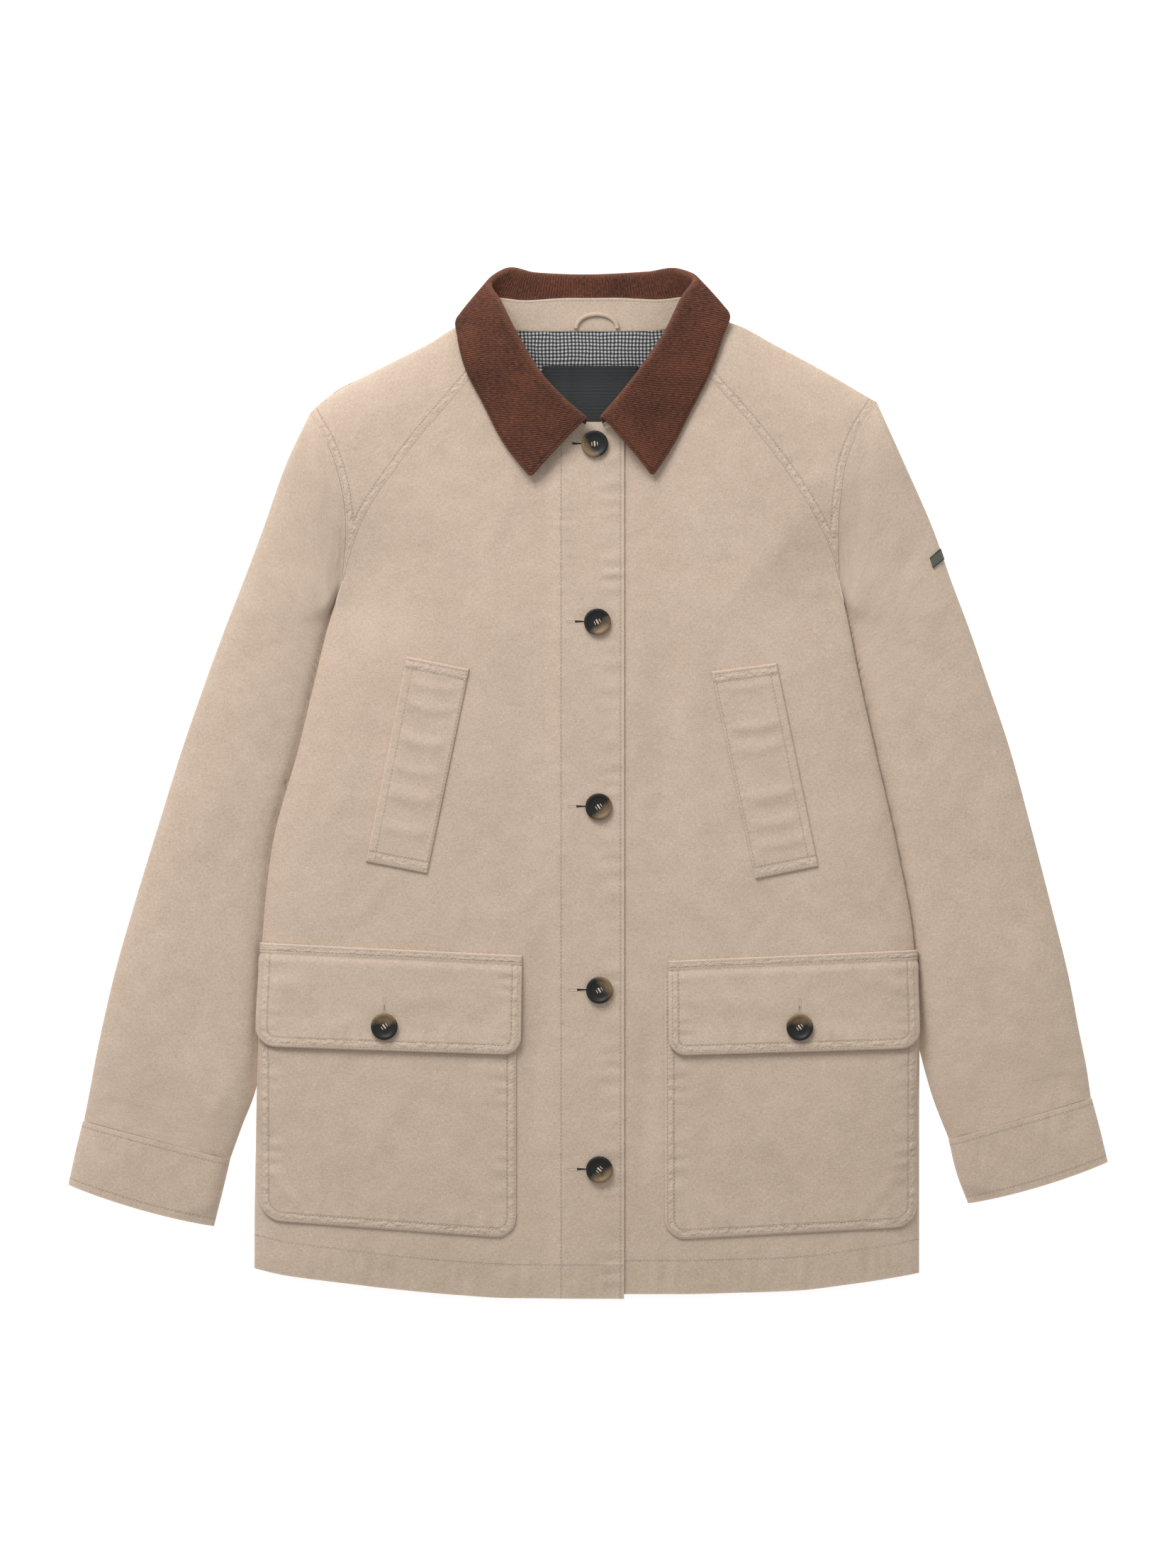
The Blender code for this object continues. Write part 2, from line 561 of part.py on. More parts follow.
def sleeve(side):
    faces = []
    for depth in (0, SHELL):
        rings = [ring(side, SLEEVE[side], share, depth, max(0, 1 - share / ARMHOLE_REACH))
                 for share in SLEEVE_SHARES]
        faces.append(np.array(rings))
    tube_wall("sleeve_" + side, *faces, "canvas")


def sleeve_badge():
    """A small plain plate on the left sleeve, bent over its outer edge."""
    distance = np.linspace(*BADGE_IN, 7)
    face = []
    for share in np.linspace(*BADGE_DOWN, 4):
        outer, inner, crest = section_ends(SLEEVE["left"], share)
        width = np.linalg.norm(inner - outer)
        x, y = between(outer[:, None], inner[:, None], distance[None, :] / width)
        z = sleeve_top(x, y, crest, distance, width - distance, share, 0)
        face.append(np.stack([x, y, z], axis=1))
    face = np.array(face)
    normal = unit(np.cross(np.gradient(face, axis=0), np.gradient(face, axis=1)))
    normal = np.where(normal[..., 2:] < 0, -normal, normal)
    cloth_wall("sleeve_badge", face + normal * (STACK + THIN), face + normal * STACK, "badge_plate")


def cuff(side):
    """The cuff: its mouth bows down a little in the middle."""
    faces = []
    bow = np.concatenate([ARMHOLE_SHARES, ARMHOLE_SHARES[-2:0:-1]])
    bow = CUFF_BOW * 4 * bow * (1 - bow)
    for depth in (0, CUFF_WALL):
        rings = []
        for share in np.linspace(0, 1, 5):
            points = ring(side, CUFF[side], share, depth, 0)
            points[:, 1] -= bow * share
            rings.append(points)
        faces.append(np.array(rings))
    tube_wall("cuff_" + side, *faces, "canvas")


# Collar and stand ---------------------------------------------------------------------------

COLLAR_STATIONS = np.linspace(0, 1, 49)


def collar_rows():
    """Neck seam, roll line and leaf edge at each station round the neck."""
    parts = {}
    rows = np.stack([COLLAR[key] for key in COLLAR], axis=1)
    whole = curve(rows, COLLAR_STATIONS)
    for index, part in enumerate(("seam", "roll", "leaf")):
        parts[part] = whole[:, 3 * index:3 * index + 3]
    parts["leaf"][:, 2] = np.maximum(parts["leaf"][:, 2], LEAF_FLOOR)
    return parts


def band_line():
    """Collar rows with the roll's frame: its outward and across directions, and its centre."""
    parts = collar_rows()
    middle = (parts["seam"] + parts["leaf"]) / 2
    towards = unit(parts["roll"] - middle)
    across = parts["leaf"] - parts["seam"]
    across = unit(across - (across * towards).sum(axis=1)[:, None] * towards)
    centre = parts["roll"] - towards * ROLL_RADIUS
    return parts, towards, across, centre


def offset_wall(name, middle, thick, finish):
    """A cloth wall half its thickness each side of a grid of points."""
    normal = unit(np.cross(np.gradient(middle, axis=0), np.gradient(middle, axis=1)))
    cloth_wall(name, middle + normal * thick / 2, middle - normal * thick / 2, finish)


def collar_and_stand():
    parts, towards, across, centre = band_line()
    top = centre - across * ROLL_RADIUS
    length = np.linalg.norm(top - parts["seam"], axis=1)[:, None]
    share = between(*STAND_SHARE, ramp(np.abs(COLLAR_STATIONS - 0.5), STAND_BACK))[:, None]
    stand_end = share - STRIP_GAP / 2 / length
    stand = [between(parts["seam"], top, part * stand_end) for part in (0, 0.5, 1)]
    offset_wall("collar_stand", np.stack(stand, axis=1), DOUBLE, "canvas")
    strip_start = share + STRIP_GAP / 2 / length
    sections = [between(parts["seam"], top, between(strip_start, 1, part)) for part in (0, 0.5)]
    for angle in np.radians([-90, -45, 0, 45, 90]):
        sections.append(centre + ROLL_RADIUS * (math.cos(angle) * towards + math.sin(angle) * across))
    start = centre + across * ROLL_RADIUS
    proud = ramp(parts["roll"][:, 2:], LEAF_PROUD)
    for part in (0.2, 0.45, 0.72, 1):
        crown = LEAF_CROWN * 4 * part * (1 - part) * proud
        sections.append(between(start, parts["leaf"], part) + across * crown)
    offset_wall("collar", np.stack(sections, axis=1), DOUBLE, "corduroy")


# What lies inside the back neck -------------------------------------------------------------

def sheet_on(name, x, y, height, thick, finish):
    """A thin piece on the surface that height gives, over a grid of x and y."""
    z = height(x, y)
    cloth_wall(name, np.stack([x, y, z + thick], axis=-1), np.stack([x, y, z], axis=-1), finish)


def lining_seat(x, y):
    return lift(x, y) + SHELL + STACK


def lining_and_label():
    x, up = np.meshgrid(np.linspace(*LINING_X, 9), np.linspace(0, 1, 9))
    y = between(LINING_FOOT_Y, read(BACK_NECK["x"], BACK_NECK["y"], x) - LINING_SHORT, up)
    sheet_on("lining_back", x, y, lining_seat, THIN, "check")
    across, down = np.meshgrid(np.linspace(-0.5, 0.5, 5), np.linspace(1, 0, 7))
    x = LABEL["x"] + across * LABEL["width"]
    y = LABEL["top"] - down * LABEL["height"]
    sheet_on("neck_label", x, y, lambda x, y: lining_seat(x, y) + THIN + STACK, THIN, "label_tape")


def hanger_loop():
    """A narrow band sewn at both ends, arched up over the stand; its edges follow an ellipse."""
    parts, towards, across, centre = band_line()
    middle = len(COLLAR_STATIONS) // 2
    seam, top = parts["seam"][middle], (centre - across * ROLL_RADIUS)[middle]
    slope = (top[2] - seam[2]) / (top[1] - seam[1])
    grid = []
    for angle in np.linspace(0, math.pi, 15):
        reach_out = LOOP["span"] / 2 * math.cos(angle)
        rise = LOOP["rise"] * math.sin(angle)
        normal = unit(np.array([math.cos(angle) / LOOP["span"] * 2, math.sin(angle) / LOOP["rise"]]))
        row = []
        for side in (-0.5, 0.5):
            x = LOOP["x"] + reach_out + normal[0] * side * LOOP["width"]
            y = LOOP["foot_y"] + rise + normal[1] * side * LOOP["width"]
            z = seam[2] + slope * (y - seam[1]) + DOUBLE / 2 + STACK
            row.append((x, y, z))
        grid.append(row)
    lower = np.array(grid)
    upper = lower + np.array([0, 0, LOOP["thick"]])
    cloth_wall("hanger_loop", upper, lower, "canvas")


# Pieces on the fronts -----------------------------------------------------------------------

def front_face(side, x, y, depth=0.0):
    z = front_height(x, y, depth)
    return z + placket_rise(x) if side == "right" else z


def front_point(side, x, y, out):
    """Points of the front's face at plan x, y, moved out along its normal."""
    probe = 0.4        # for the slope
    z = front_face(side, x, y)
    slope_x = (front_face(side, x + probe, y) - front_face(side, x - probe, y)) / (2 * probe)
    slope_y = (front_face(side, x, y + probe) - front_face(side, x, y - probe)) / (2 * probe)
    normal = unit(np.stack([-slope_x, -slope_y, np.ones_like(slope_x)], axis=-1))
    return np.stack([x, y, z], axis=-1) + normal * np.asarray(out)[..., None]


PATCH_SHARES = np.array([0, 0.01, 0.03, 0.065, 0.11, 0.17, 0.27, 0.42, 0.6, 0.8, 0.96, 1])


def patch_plan(corners, radius, shares_down, shares_across):
    """Plan of a patch: rows from its top edge down, its two lower corners rounded."""
    top_a, top_b, low_b, low_a = (np.array(corner, float) for corner in corners)
    height = (np.linalg.norm(top_a - low_a) + np.linalg.norm(top_b - low_b)) / 2
    plan = []
    for down in shares_down:
        start, end = between(top_a, low_a, down), between(top_b, low_b, down)
        above = (1 - down) * height
        cut = 0.0
        if above < radius:
            cut = radius - math.sqrt(radius ** 2 - (radius - above) ** 2)
        cut /= np.linalg.norm(end - start)
        shares = between(cut, 1 - cut, shares_across)
        plan.append(between(start[None, :], end[None, :], shares[:, None]))
    return np.array(plan)


def pocket(side):
    plan = patch_plan(POCKET[side], POCKET_CORNER,
                      [0, 0.2, 0.42, 0.63, 0.82, 0.918, 0.96, 1], PATCH_SHARES)
    x, y = plan[..., 0], plan[..., 1]
    seat = np.broadcast_to(STACK + PATCH_EASE * (1 - ramp(PATCH_SHARES, EASE_SHARES)), x.shape)
    cloth_wall("pocket_" + side, front_point(side, x, y, seat + SHELL),
               front_point(side, x, y, seat), "canvas")


def flap(side):
    """The flap: sewn to the front along its top band, then lying over the pocket."""
    shares_down = np.array([0, 0.093, 0.1, 0.15, 0.2, 0.5, 0.82, 0.9, 0.96, 1])
    plan = patch_plan(FLAP[side], FLAP_CORNER, shares_down, PATCH_SHARES)
    x, y = plan[..., 0], plan[..., 1]
    height = np.linalg.norm(np.subtract(FLAP[side][0], FLAP[side][3]))
    from_top = np.broadcast_to((shares_down * height)[:, None], x.shape)
    seat = STACK + (SHELL + STACK) * ramp(from_top, FLAP_STEP)
    seat = seat + PATCH_EASE * (1 - ramp(PATCH_SHARES, EASE_SHARES))
    band = FLAP_BAND_RISE * (from_top < FLAP_STEP[0] + 1)
    cloth_wall("flap_" + side, front_point(side, x, y, seat + DOUBLE + band),
               front_point(side, x, y, seat), "canvas")


def welt(side):
    """A slanted band, stitched flat at both ends, with soft puckers between."""
    down = np.linspace(0, 1, 23)
    plan = patch_plan(WELT[side], WELT_CORNER, down, np.array([0, 0.25, 0.75, 1]))
    x, y = plan[..., 0], plan[..., 1]
    inside = ramp(np.minimum(down, 1 - down), WELT_START)[:, None]
    wave = (1 - np.cos(2 * math.pi * WELT_PUCKERS * (down - WELT_BAND) / (1 - 2 * WELT_BAND))) / 2
    across = np.array([0, 1, 1, 0])[None, :]
    pucker = WELT_PUCKER_RISE * inside * wave[:, None] * across
    cloth_wall("welt_" + side, front_point(side, x, y, STACK + DOUBLE + pucker),
               front_point(side, x, y, np.full_like(x, STACK)), "canvas")


def button(name, x, y, z):
    """A dished disc with a rounded rim, turned about its axis."""
    sides = 18
    points, faces = [], []
    ring_starts = []
    for radius, height in BUTTON_PROFILE:
        ring_starts.append(len(points))
        if radius == 0:
            points.append((0, 0, height * BUTTON_THICK))
            continue
        for k in range(sides):
            angle = 2 * math.pi * k / sides
            points.append((radius * BUTTON_RADIUS * math.cos(angle),
                           radius * BUTTON_RADIUS * math.sin(angle), height * BUTTON_THICK))
    for k in range(sides):
        following = (k + 1) % sides
        faces.append((0, ring_starts[1] + following, ring_starts[1] + k))
        for lower, upper in zip(ring_starts[1:-2], ring_starts[2:-1]):
            faces.append((lower + k, lower + following, upper + following, upper + k))
        faces.append((ring_starts[-1], ring_starts[-2] + k, ring_starts[-2] + following))
    add_solid(name, points, faces, "horn", (x, y, z))


def highest_under(x, y, height):
    """The highest point of a surface under a button's base."""
    angles = np.linspace(0, 2 * math.pi, 13)
    radii = np.array([[0], [0.5], [0.85]]) * BUTTON_RADIUS
    return float(np.max(height(x + radii * np.cos(angles), y + radii * np.sin(angles))))


def buttons():
    for index, (x, y) in enumerate(zip(FRONT_BUTTONS["x"], FRONT_BUTTONS["y"])):
        z = highest_under(x, y, lambda u, v: front_face("right", u, v)) + STACK
        button(f"button_front_{index + 1}", x, y, z)
    stack = 2 * STACK + SHELL + DOUBLE
    for side, (x, y) in FLAP_BUTTONS.items():
        z = highest_under(x, y, lambda u, v, side=side: front_face(side, u, v)) + stack + STACK
        button("button_flap_" + side, x, y, z)


for existing in list(bpy.data.objects):
    bpy.data.objects.remove(existing)
back_panel()
lining_and_label()
for wearer_side in ("right", "left"):
    front_panel(wearer_side)
    shoulder_panel(wearer_side)
    sleeve(wearer_side)
    cuff(wearer_side)
    pocket(wearer_side)
    flap(wearer_side)
    welt(wearer_side)
sleeve_badge()
collar_and_stand()
hanger_loop()
buttons()
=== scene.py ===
import math

import bmesh
import bpy
import numpy as np
from mathutils import Matrix


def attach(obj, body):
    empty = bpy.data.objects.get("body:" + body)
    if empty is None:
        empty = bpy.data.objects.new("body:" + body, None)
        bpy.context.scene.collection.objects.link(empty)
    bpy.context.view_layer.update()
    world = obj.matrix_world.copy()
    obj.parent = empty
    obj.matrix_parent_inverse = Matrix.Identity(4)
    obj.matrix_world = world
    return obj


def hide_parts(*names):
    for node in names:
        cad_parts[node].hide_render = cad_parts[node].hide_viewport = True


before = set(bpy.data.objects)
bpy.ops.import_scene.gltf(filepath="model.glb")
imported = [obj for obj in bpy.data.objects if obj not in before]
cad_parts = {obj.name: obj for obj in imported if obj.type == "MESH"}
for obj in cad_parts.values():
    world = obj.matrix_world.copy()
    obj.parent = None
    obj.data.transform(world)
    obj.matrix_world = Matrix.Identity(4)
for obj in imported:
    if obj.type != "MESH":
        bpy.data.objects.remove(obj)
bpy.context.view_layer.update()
bpy.ops.object.select_all(action="DESELECT")

# The back: one canvas panel from hem to neck, cut whole, with the lining behind it. It lies flat
# on the table, lifted a little where the sleeves are tucked under its sides and where the
# turned-down collar lies under its neck. All sizes are in millimetres, made metres in the mesh.
MM = 0.001
SHELL = 1.5            # canvas with its lining
SEAM = 0.08            # between panels that are sewn together
STACK = 0.3            # between a piece and what it lies on
SIGN = {"right": -1, "left": 1}
NEAR_EDGE = (0.35, 0.9, 1.8)      # extra mesh lines in from an edge
NEAR_ROW = (-0.9, 0, 0.9)         # and about a sewn row
LEAST_GAP = 0.45                  # share of the gap that other lines keep from them
SHARP_FROM = 50                   # degrees between faces


def table(columns, *rows):
    """A short table with named columns."""
    return {name: np.array(values, float) for name, values in zip(columns.split(), zip(*rows))}


ARMPIT_Y = 150
SIDE_EDGE = table("y right left",
    (-400, 250, 248), (-362, 250, 248), (-195, 247, 248), (-120, 244, 244), (-50, 237, 232),
    (30, 216, 214), (80, 204, 203), (120, 194, 195), (150, 184, 188))
SHOULDER_EDGE = {
    "right": [(-86, 347.5), (-101, 341), (-117, 331), (-158, 310), (-196, 289), (-208, 278)],
    "left": [(94, 349), (117, 341.5), (136, 331), (175, 310), (204, 293), (216, 286)]}
ARMHOLE = {
    "right": [(-208, 278), (-194, 253), (-184, 220), (-181, 191), (-183, 163), (-184, 150)],
    "left": [(216, 286), (201, 262), (193, 241), (189, 215), (187, 182), (188, 150)]}
BACK_NECK = table("x y",
    (-86, 347.5), (-78, 341), (-60, 338), (0, 337.5), (62, 338.5), (84, 343), (94, 349))
BACK_HEM = table("x y",
    (-250, -361.5), (-150, -376), (0, -380), (110, -379), (200, -373), (248, -365))
TUCK_LIFT = 5.3
TUCK_WIDTH = (58, 100)
TUCK_TOP = (122, 150)
TUCK_FOOT = {"right": (-275, -235), "left": (-245, -205)}
NECK_LIFT = 2.6
NECK_LIFT_Y = (298, 328)
NECK_LIFT_X = (104, 134)
SIDE_LENGTH, BACK_WIDTH, HEM_REACH = 520, 480, 249
NECK_FROM = (0.7, 1)                                  # rows that bend to the neck's line
FREE_FROM_SIDE, FREE_TO_NECK = (25, 60), (260, 300)   # where the back's creases begin and end
BACK_CREASES = table("x y lean length width rise",
    (-60, 120, 12, 150, 16, 0.5), (80, 60, -16, 130, 15, 0.5), (20, -200, 4, 120, 18, 0.4),
    (-140, -120, 8, 110, 14, 0.4))


def step(value):
    value = np.clip(value, 0, 1)
    return value * value * (3 - 2 * value)


def ramp(value, limits):
    return step((value - limits[0]) / (limits[1] - limits[0]))


def roll(share):
    """Quarter-round rise from 0 at an edge to 1 at the full share."""
    return np.sqrt(1 - (1 - np.clip(share, 0, 1)) ** 2)


def between(start, end, share):
    return start + (end - start) * share


def unit(vectors):
    return vectors / np.linalg.norm(vectors, axis=-1, keepdims=True)


def lengths(line):
    """Length along a line of points, from its start to each of them."""
    return np.concatenate([[0], np.cumsum(np.linalg.norm(np.diff(line, axis=0), axis=1))])


def placed(line, stops):
    """Points of a line of points at the given lengths along it."""
    at = lengths(line)
    return np.stack([np.interp(stops, at, part) for part in line.T], axis=1)


def hermite(at, values, tangents, x):
    """Cubic through values at rising stations, with the given tangents."""
    k = np.clip(np.searchsorted(at, x, side="right") - 1, 0, len(at) - 2)
    span = at[k + 1] - at[k]
    f = (x - at[k]) / span
    if values.ndim > 1:
        f, span = f[..., None], span[..., None]
    two, three = f ** 2, f ** 3
    return ((2 * three - 3 * two + 1) * values[k] + (three - 2 * two + f) * span * tangents[k]
            + (3 * two - 2 * three) * values[k + 1] + (three - two) * span * tangents[k + 1])


def read(at, values, x):
    """Smooth reading of a table column that never overshoots its rows, level past the ends."""
    slopes = np.diff(values) / np.diff(at)
    tangents = np.concatenate([slopes[:1], np.zeros(len(at) - 2), slopes[-1:]])
    turning = slopes[:-1] * slopes[1:] > 0
    tangents[1:-1][turning] = 2 / (1 / slopes[:-1][turning] + 1 / slopes[1:][turning])
    return hermite(at, values, tangents, np.clip(np.asarray(x, float), at[0], at[-1]))


def curve(points, shares):
    """Points at the given shares of the length of a smooth curve through the given points."""
    points = np.array(points, float)
    at = lengths(points)
    at = at / at[-1]
    return hermite(at, points, np.gradient(points, at, axis=0), np.asarray(shares, float))


def spaced(length, gap, rows=(), edges=(True, True)):
    """Stations about gap apart, closer beside the edges and to each side of the sewn rows."""
    close = [0, length]
    for at_edge, sense, start in zip(edges, (1, -1), (0, length)):
        if at_edge:
            close += [start + sense * inset for inset in NEAR_EDGE]
    close += [row + side for row in rows for side in NEAR_ROW]
    close = np.array([station for station in close if 0 <= station <= length])
    fill = np.linspace(0, length, max(2, int(length / gap)))
    clear = np.abs(fill[:, None] - close[None, :]).min(axis=1) > LEAST_GAP * gap
    return np.unique(np.round(np.concatenate([close, fill[clear]]), 3))


def reach(x, y):
    """How far the body reaches out at this height, on the side of x."""
    return np.where(x < 0, *(read(SIDE_EDGE["y"], SIDE_EDGE[side], y) for side in SIGN))


def lift(x, y):
    """Height of the back panel's underside."""
    from_side = reach(x, y) - np.abs(x)
    foot = np.where(x < 0, *(ramp(y, TUCK_FOOT[side]) for side in SIGN))
    over_sleeve = TUCK_LIFT * foot * (1 - ramp(y, TUCK_TOP)) * (1 - ramp(from_side, TUCK_WIDTH))
    over_collar = NECK_LIFT * ramp(y, NECK_LIFT_Y) * (1 - ramp(np.abs(x), NECK_LIFT_X))
    return over_sleeve + over_collar


def folds(x, y, rows):
    """Soft ridges and troughs, each fading out along its length."""
    height = np.zeros(np.broadcast(x, y).shape)
    for fold_x, fold_y, lean, length, width, rise in zip(*rows.values()):
        angle = math.radians(lean)
        along = (x - fold_x) * math.sin(angle) + (y - fold_y) * math.cos(angle)
        across = (x - fold_x) * math.cos(angle) - (y - fold_y) * math.sin(angle)
        height += rise * np.exp(-(across / width) ** 2) * (1 - step(np.abs(along) / length))
    return height


def armhole_line(side, depth, shift, shares):
    """The armhole from shoulder tip to armpit; a deeper face starts further in."""
    start = depth / lengths(ARMHOLE[side])[-1]
    points = curve(ARMHOLE[side], between(start, 1, shares))
    points[:, 0] -= SIGN[side] * shift
    return points


def quads(rows, columns, closed=False):
    """Corner numbers of a grid's faces; closed joins the last column to the first."""
    i, j = np.meshgrid(np.arange(rows - 1) * columns,
                       np.arange(columns if closed else columns - 1), indexing="ij")
    k = (j + 1) % columns
    return np.stack([i + j, i + k, i + columns + k, i + columns + j]).reshape(4, -1).T


def linked(name, mesh, finish):
    """An object of this mesh and finish, in the scene."""
    mesh.materials.clear()
    mesh.materials.append(finish)
    piece = bpy.data.objects.new(name, mesh)
    bpy.context.collection.objects.link(piece)
    return piece


def solid(name, points, faces, finish, uv=None, marks=None):
    """A mesh object in place, from points in millimetres, with its UV map and vertex marks."""
    mesh = bpy.data.meshes.new(name)
    mesh.from_pydata((np.asarray(points) * MM).tolist(), [], np.asarray(faces).tolist())
    shape = bmesh.new()
    shape.from_mesh(mesh)
    bmesh.ops.recalc_face_normals(shape, faces=shape.faces)
    shape.to_mesh(mesh)
    shape.free()
    mesh.shade_smooth()
    corners = np.empty(len(mesh.loops), int)
    mesh.loops.foreach_get("vertex_index", corners)
    if uv is not None:
        layer = mesh.uv_layers.new(name="cloth")
        layer.uv.foreach_set("vector", (np.asarray(uv) * MM)[corners].ravel().astype(np.float32))
    for mark, values in (marks or {}).items():
        attribute = mesh.attributes.new(mark, "FLOAT", "POINT")
        attribute.data.foreach_set("value", np.asarray(values, np.float32))
    return linked(name, mesh, finish)


def cloth(name, outer, inner, finish, grain=0.0, marks=None, closed=False, uv=None):
    """A thin cloth shell between two grids of points, closed round its rim.

    The weave's direction is turned from +Y by grain, in degrees, unless a UV grid is given.
    """
    rows, columns = outer.shape[:2]
    layer = rows * columns
    points = np.concatenate([outer.reshape(-1, 3), inner.reshape(-1, 3)])
    faces = quads(rows, columns, closed)
    if closed:
        edges = [np.arange(columns), layer - columns + np.arange(columns)]
    else:
        edges = [np.concatenate([np.arange(columns), np.arange(1, rows) * columns + columns - 1,
                                 layer - 2 - np.arange(columns - 1),
                                 np.arange(rows - 2, 0, -1) * columns])]
    rim = [np.stack([np.roll(edge, -1), edge, layer + edge, layer + np.roll(edge, -1)], axis=1)
           for edge in edges]
    faces = np.concatenate([faces, layer + faces[:, ::-1]] + rim)
    if uv is None:
        angle = math.radians(grain)
        x, y = points[:, 0], points[:, 1]
        uv = np.stack([x * math.cos(angle) + y * math.sin(angle),
                       y * math.cos(angle) - x * math.sin(angle)], axis=1)
    else:
        uv = np.concatenate([uv.reshape(-1, 2)] * 2)
    both = {mark: np.concatenate([np.asarray(values).ravel()] * 2)
            for mark, values in (marks or {}).items()}
    piece = solid(name, points, faces, finish, uv, both)
    piece.data.set_sharp_from_angle(angle=math.radians(SHARP_FROM))
    return piece


def stands_for(piece, node, slot, **sheet):
    """Puts a piece on the body in place of a solid; the flat size and other sheet values it is
    given are not used.
    """
    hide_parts(node)
    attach(piece, "root")


class Tone:
    """A value in a material: arithmetic on it adds the nodes that work it out."""

    def __init__(self, tree, socket=None):
        self.tree = tree
        self.socket = socket

    def node(self, kind, settings=None, inputs=None, output=0):
        """Adds a node: its settings first, then the values or links of its inputs."""
        made = self.tree.nodes.new("ShaderNode" + kind)
        for key, value in (settings or {}).items():
            setattr(made, key, value)
        for key, value in (inputs or {}).items():
            if isinstance(value, Tone):
                self.tree.links.new(value.socket, made.inputs[key])
            else:
                made.inputs[key].default_value = value
        return Tone(self.tree, made.outputs[output])

    def math(self, operation, one, other=0.0):
        return self.node("Math", {"operation": operation}, {0: one, 1: other})

    def __add__(self, other):
        return self.math("ADD", self, other)

    def __sub__(self, other):
        return self.math("SUBTRACT", self, other)

    def __rsub__(self, other):
        return self.math("SUBTRACT", other, self)

    def __mul__(self, other):
        return self.math("MULTIPLY", self, other)

    def __abs__(self):
        return self.math("ABSOLUTE", self)

    __radd__ = __add__
    __rmul__ = __mul__

    def sine(self, pitch):
        return self.math("SINE", self * (2 * math.pi / pitch))

    def clamped(self, low=0.0, high=1.0):
        """From 0 at low to 1 at high, level past them."""
        return self.node("MapRange", None, {0: self, 1: low, 2: high, 3: 0.0, 4: 1.0})

    def mark(self, name):
        """A vertex mark of the mesh."""
        return self.node("Attribute", {"attribute_name": name}, None, 2)

    def mix(self, one, other):
        """Colour: one where this value is 0, the other where it is 1."""
        colours = [(*colour, 1) if isinstance(colour, tuple) else colour for colour in (one, other)]
        return self.node("Mix", {"data_type": "RGBA"}, {0: self, 6: colours[0], 7: colours[1]}, 2)


def new_finish(name, roughness, sheen=0.0, others=None):
    """A material, its start for shader sums, and its shader."""
    made = bpy.data.materials.new(name)
    made.use_nodes = True
    shader = made.node_tree.nodes["Principled BSDF"]
    values = {"Roughness": roughness, "Sheen Weight": sheen, "Sheen Roughness": 0.5}
    for key, value in (values | (others or {})).items():
        shader.inputs[key].default_value = value
    return made, Tone(made.node_tree), shader


def woven(tone):
    """The cloth's own place, in metres, and its parts across and along the grain."""
    place = tone.node("UVMap", {"uv_map": "cloth"})
    across = tone.node("SeparateXYZ", None, {0: place})
    return place, across, Tone(tone.tree, across.socket.node.outputs[1])


def noise(tone, place, scale, detail=3.0, stretch=(1, 1, 1)):
    place = tone.node("Mapping", None, {0: place, 3: stretch})
    return tone.node("TexNoise", None, {"Vector": place, "Scale": scale, "Detail": detail,
                                        "Roughness": 0.6})


def surfaced(made, shader, colour, height):
    """Sends a colour, and a height in millimetres as a bump, to the material's shader."""
    links = made.node_tree.links
    links.new(colour.socket, shader.inputs["Base Color"])
    bump = height.node("Bump", None, {"Height": height, "Distance": MM, "Strength": 1.0})
    links.new(bump.socket, shader.inputs["Normal"])
    return made


def plain_finish(name, colour, roughness, sheen=0.0, others=None):
    """A material of one colour."""
    return new_finish(name, roughness, sheen, {"Base Color": (*colour, 1)} | (others or {}))[0]


CANVAS_LIGHT = (0.655, 0.522, 0.416)
CANVAS_DARK = (0.445, 0.338, 0.250)
YARN, YARN_STRETCH = 1150, 0.3    # noise scale, and how far a yarn's noise is drawn out
WEAVE = 0.0009                    # pitch of the weave in metres
# Painted shade: how far a sewn row's grooves and needle pits, and a seam's crease, are darkened
ROW_PAINTED_SHADE, SEAM_PAINTED_SHADE = 0.55, 0.45  # how much of the dark pits' colour shows on a row, on a seam
# Edges worn paler, and a painted highlight on the puffed band between two sewn rows
EDGE_PALE, BAND_HIGHLIGHT = 0.16, 0.12


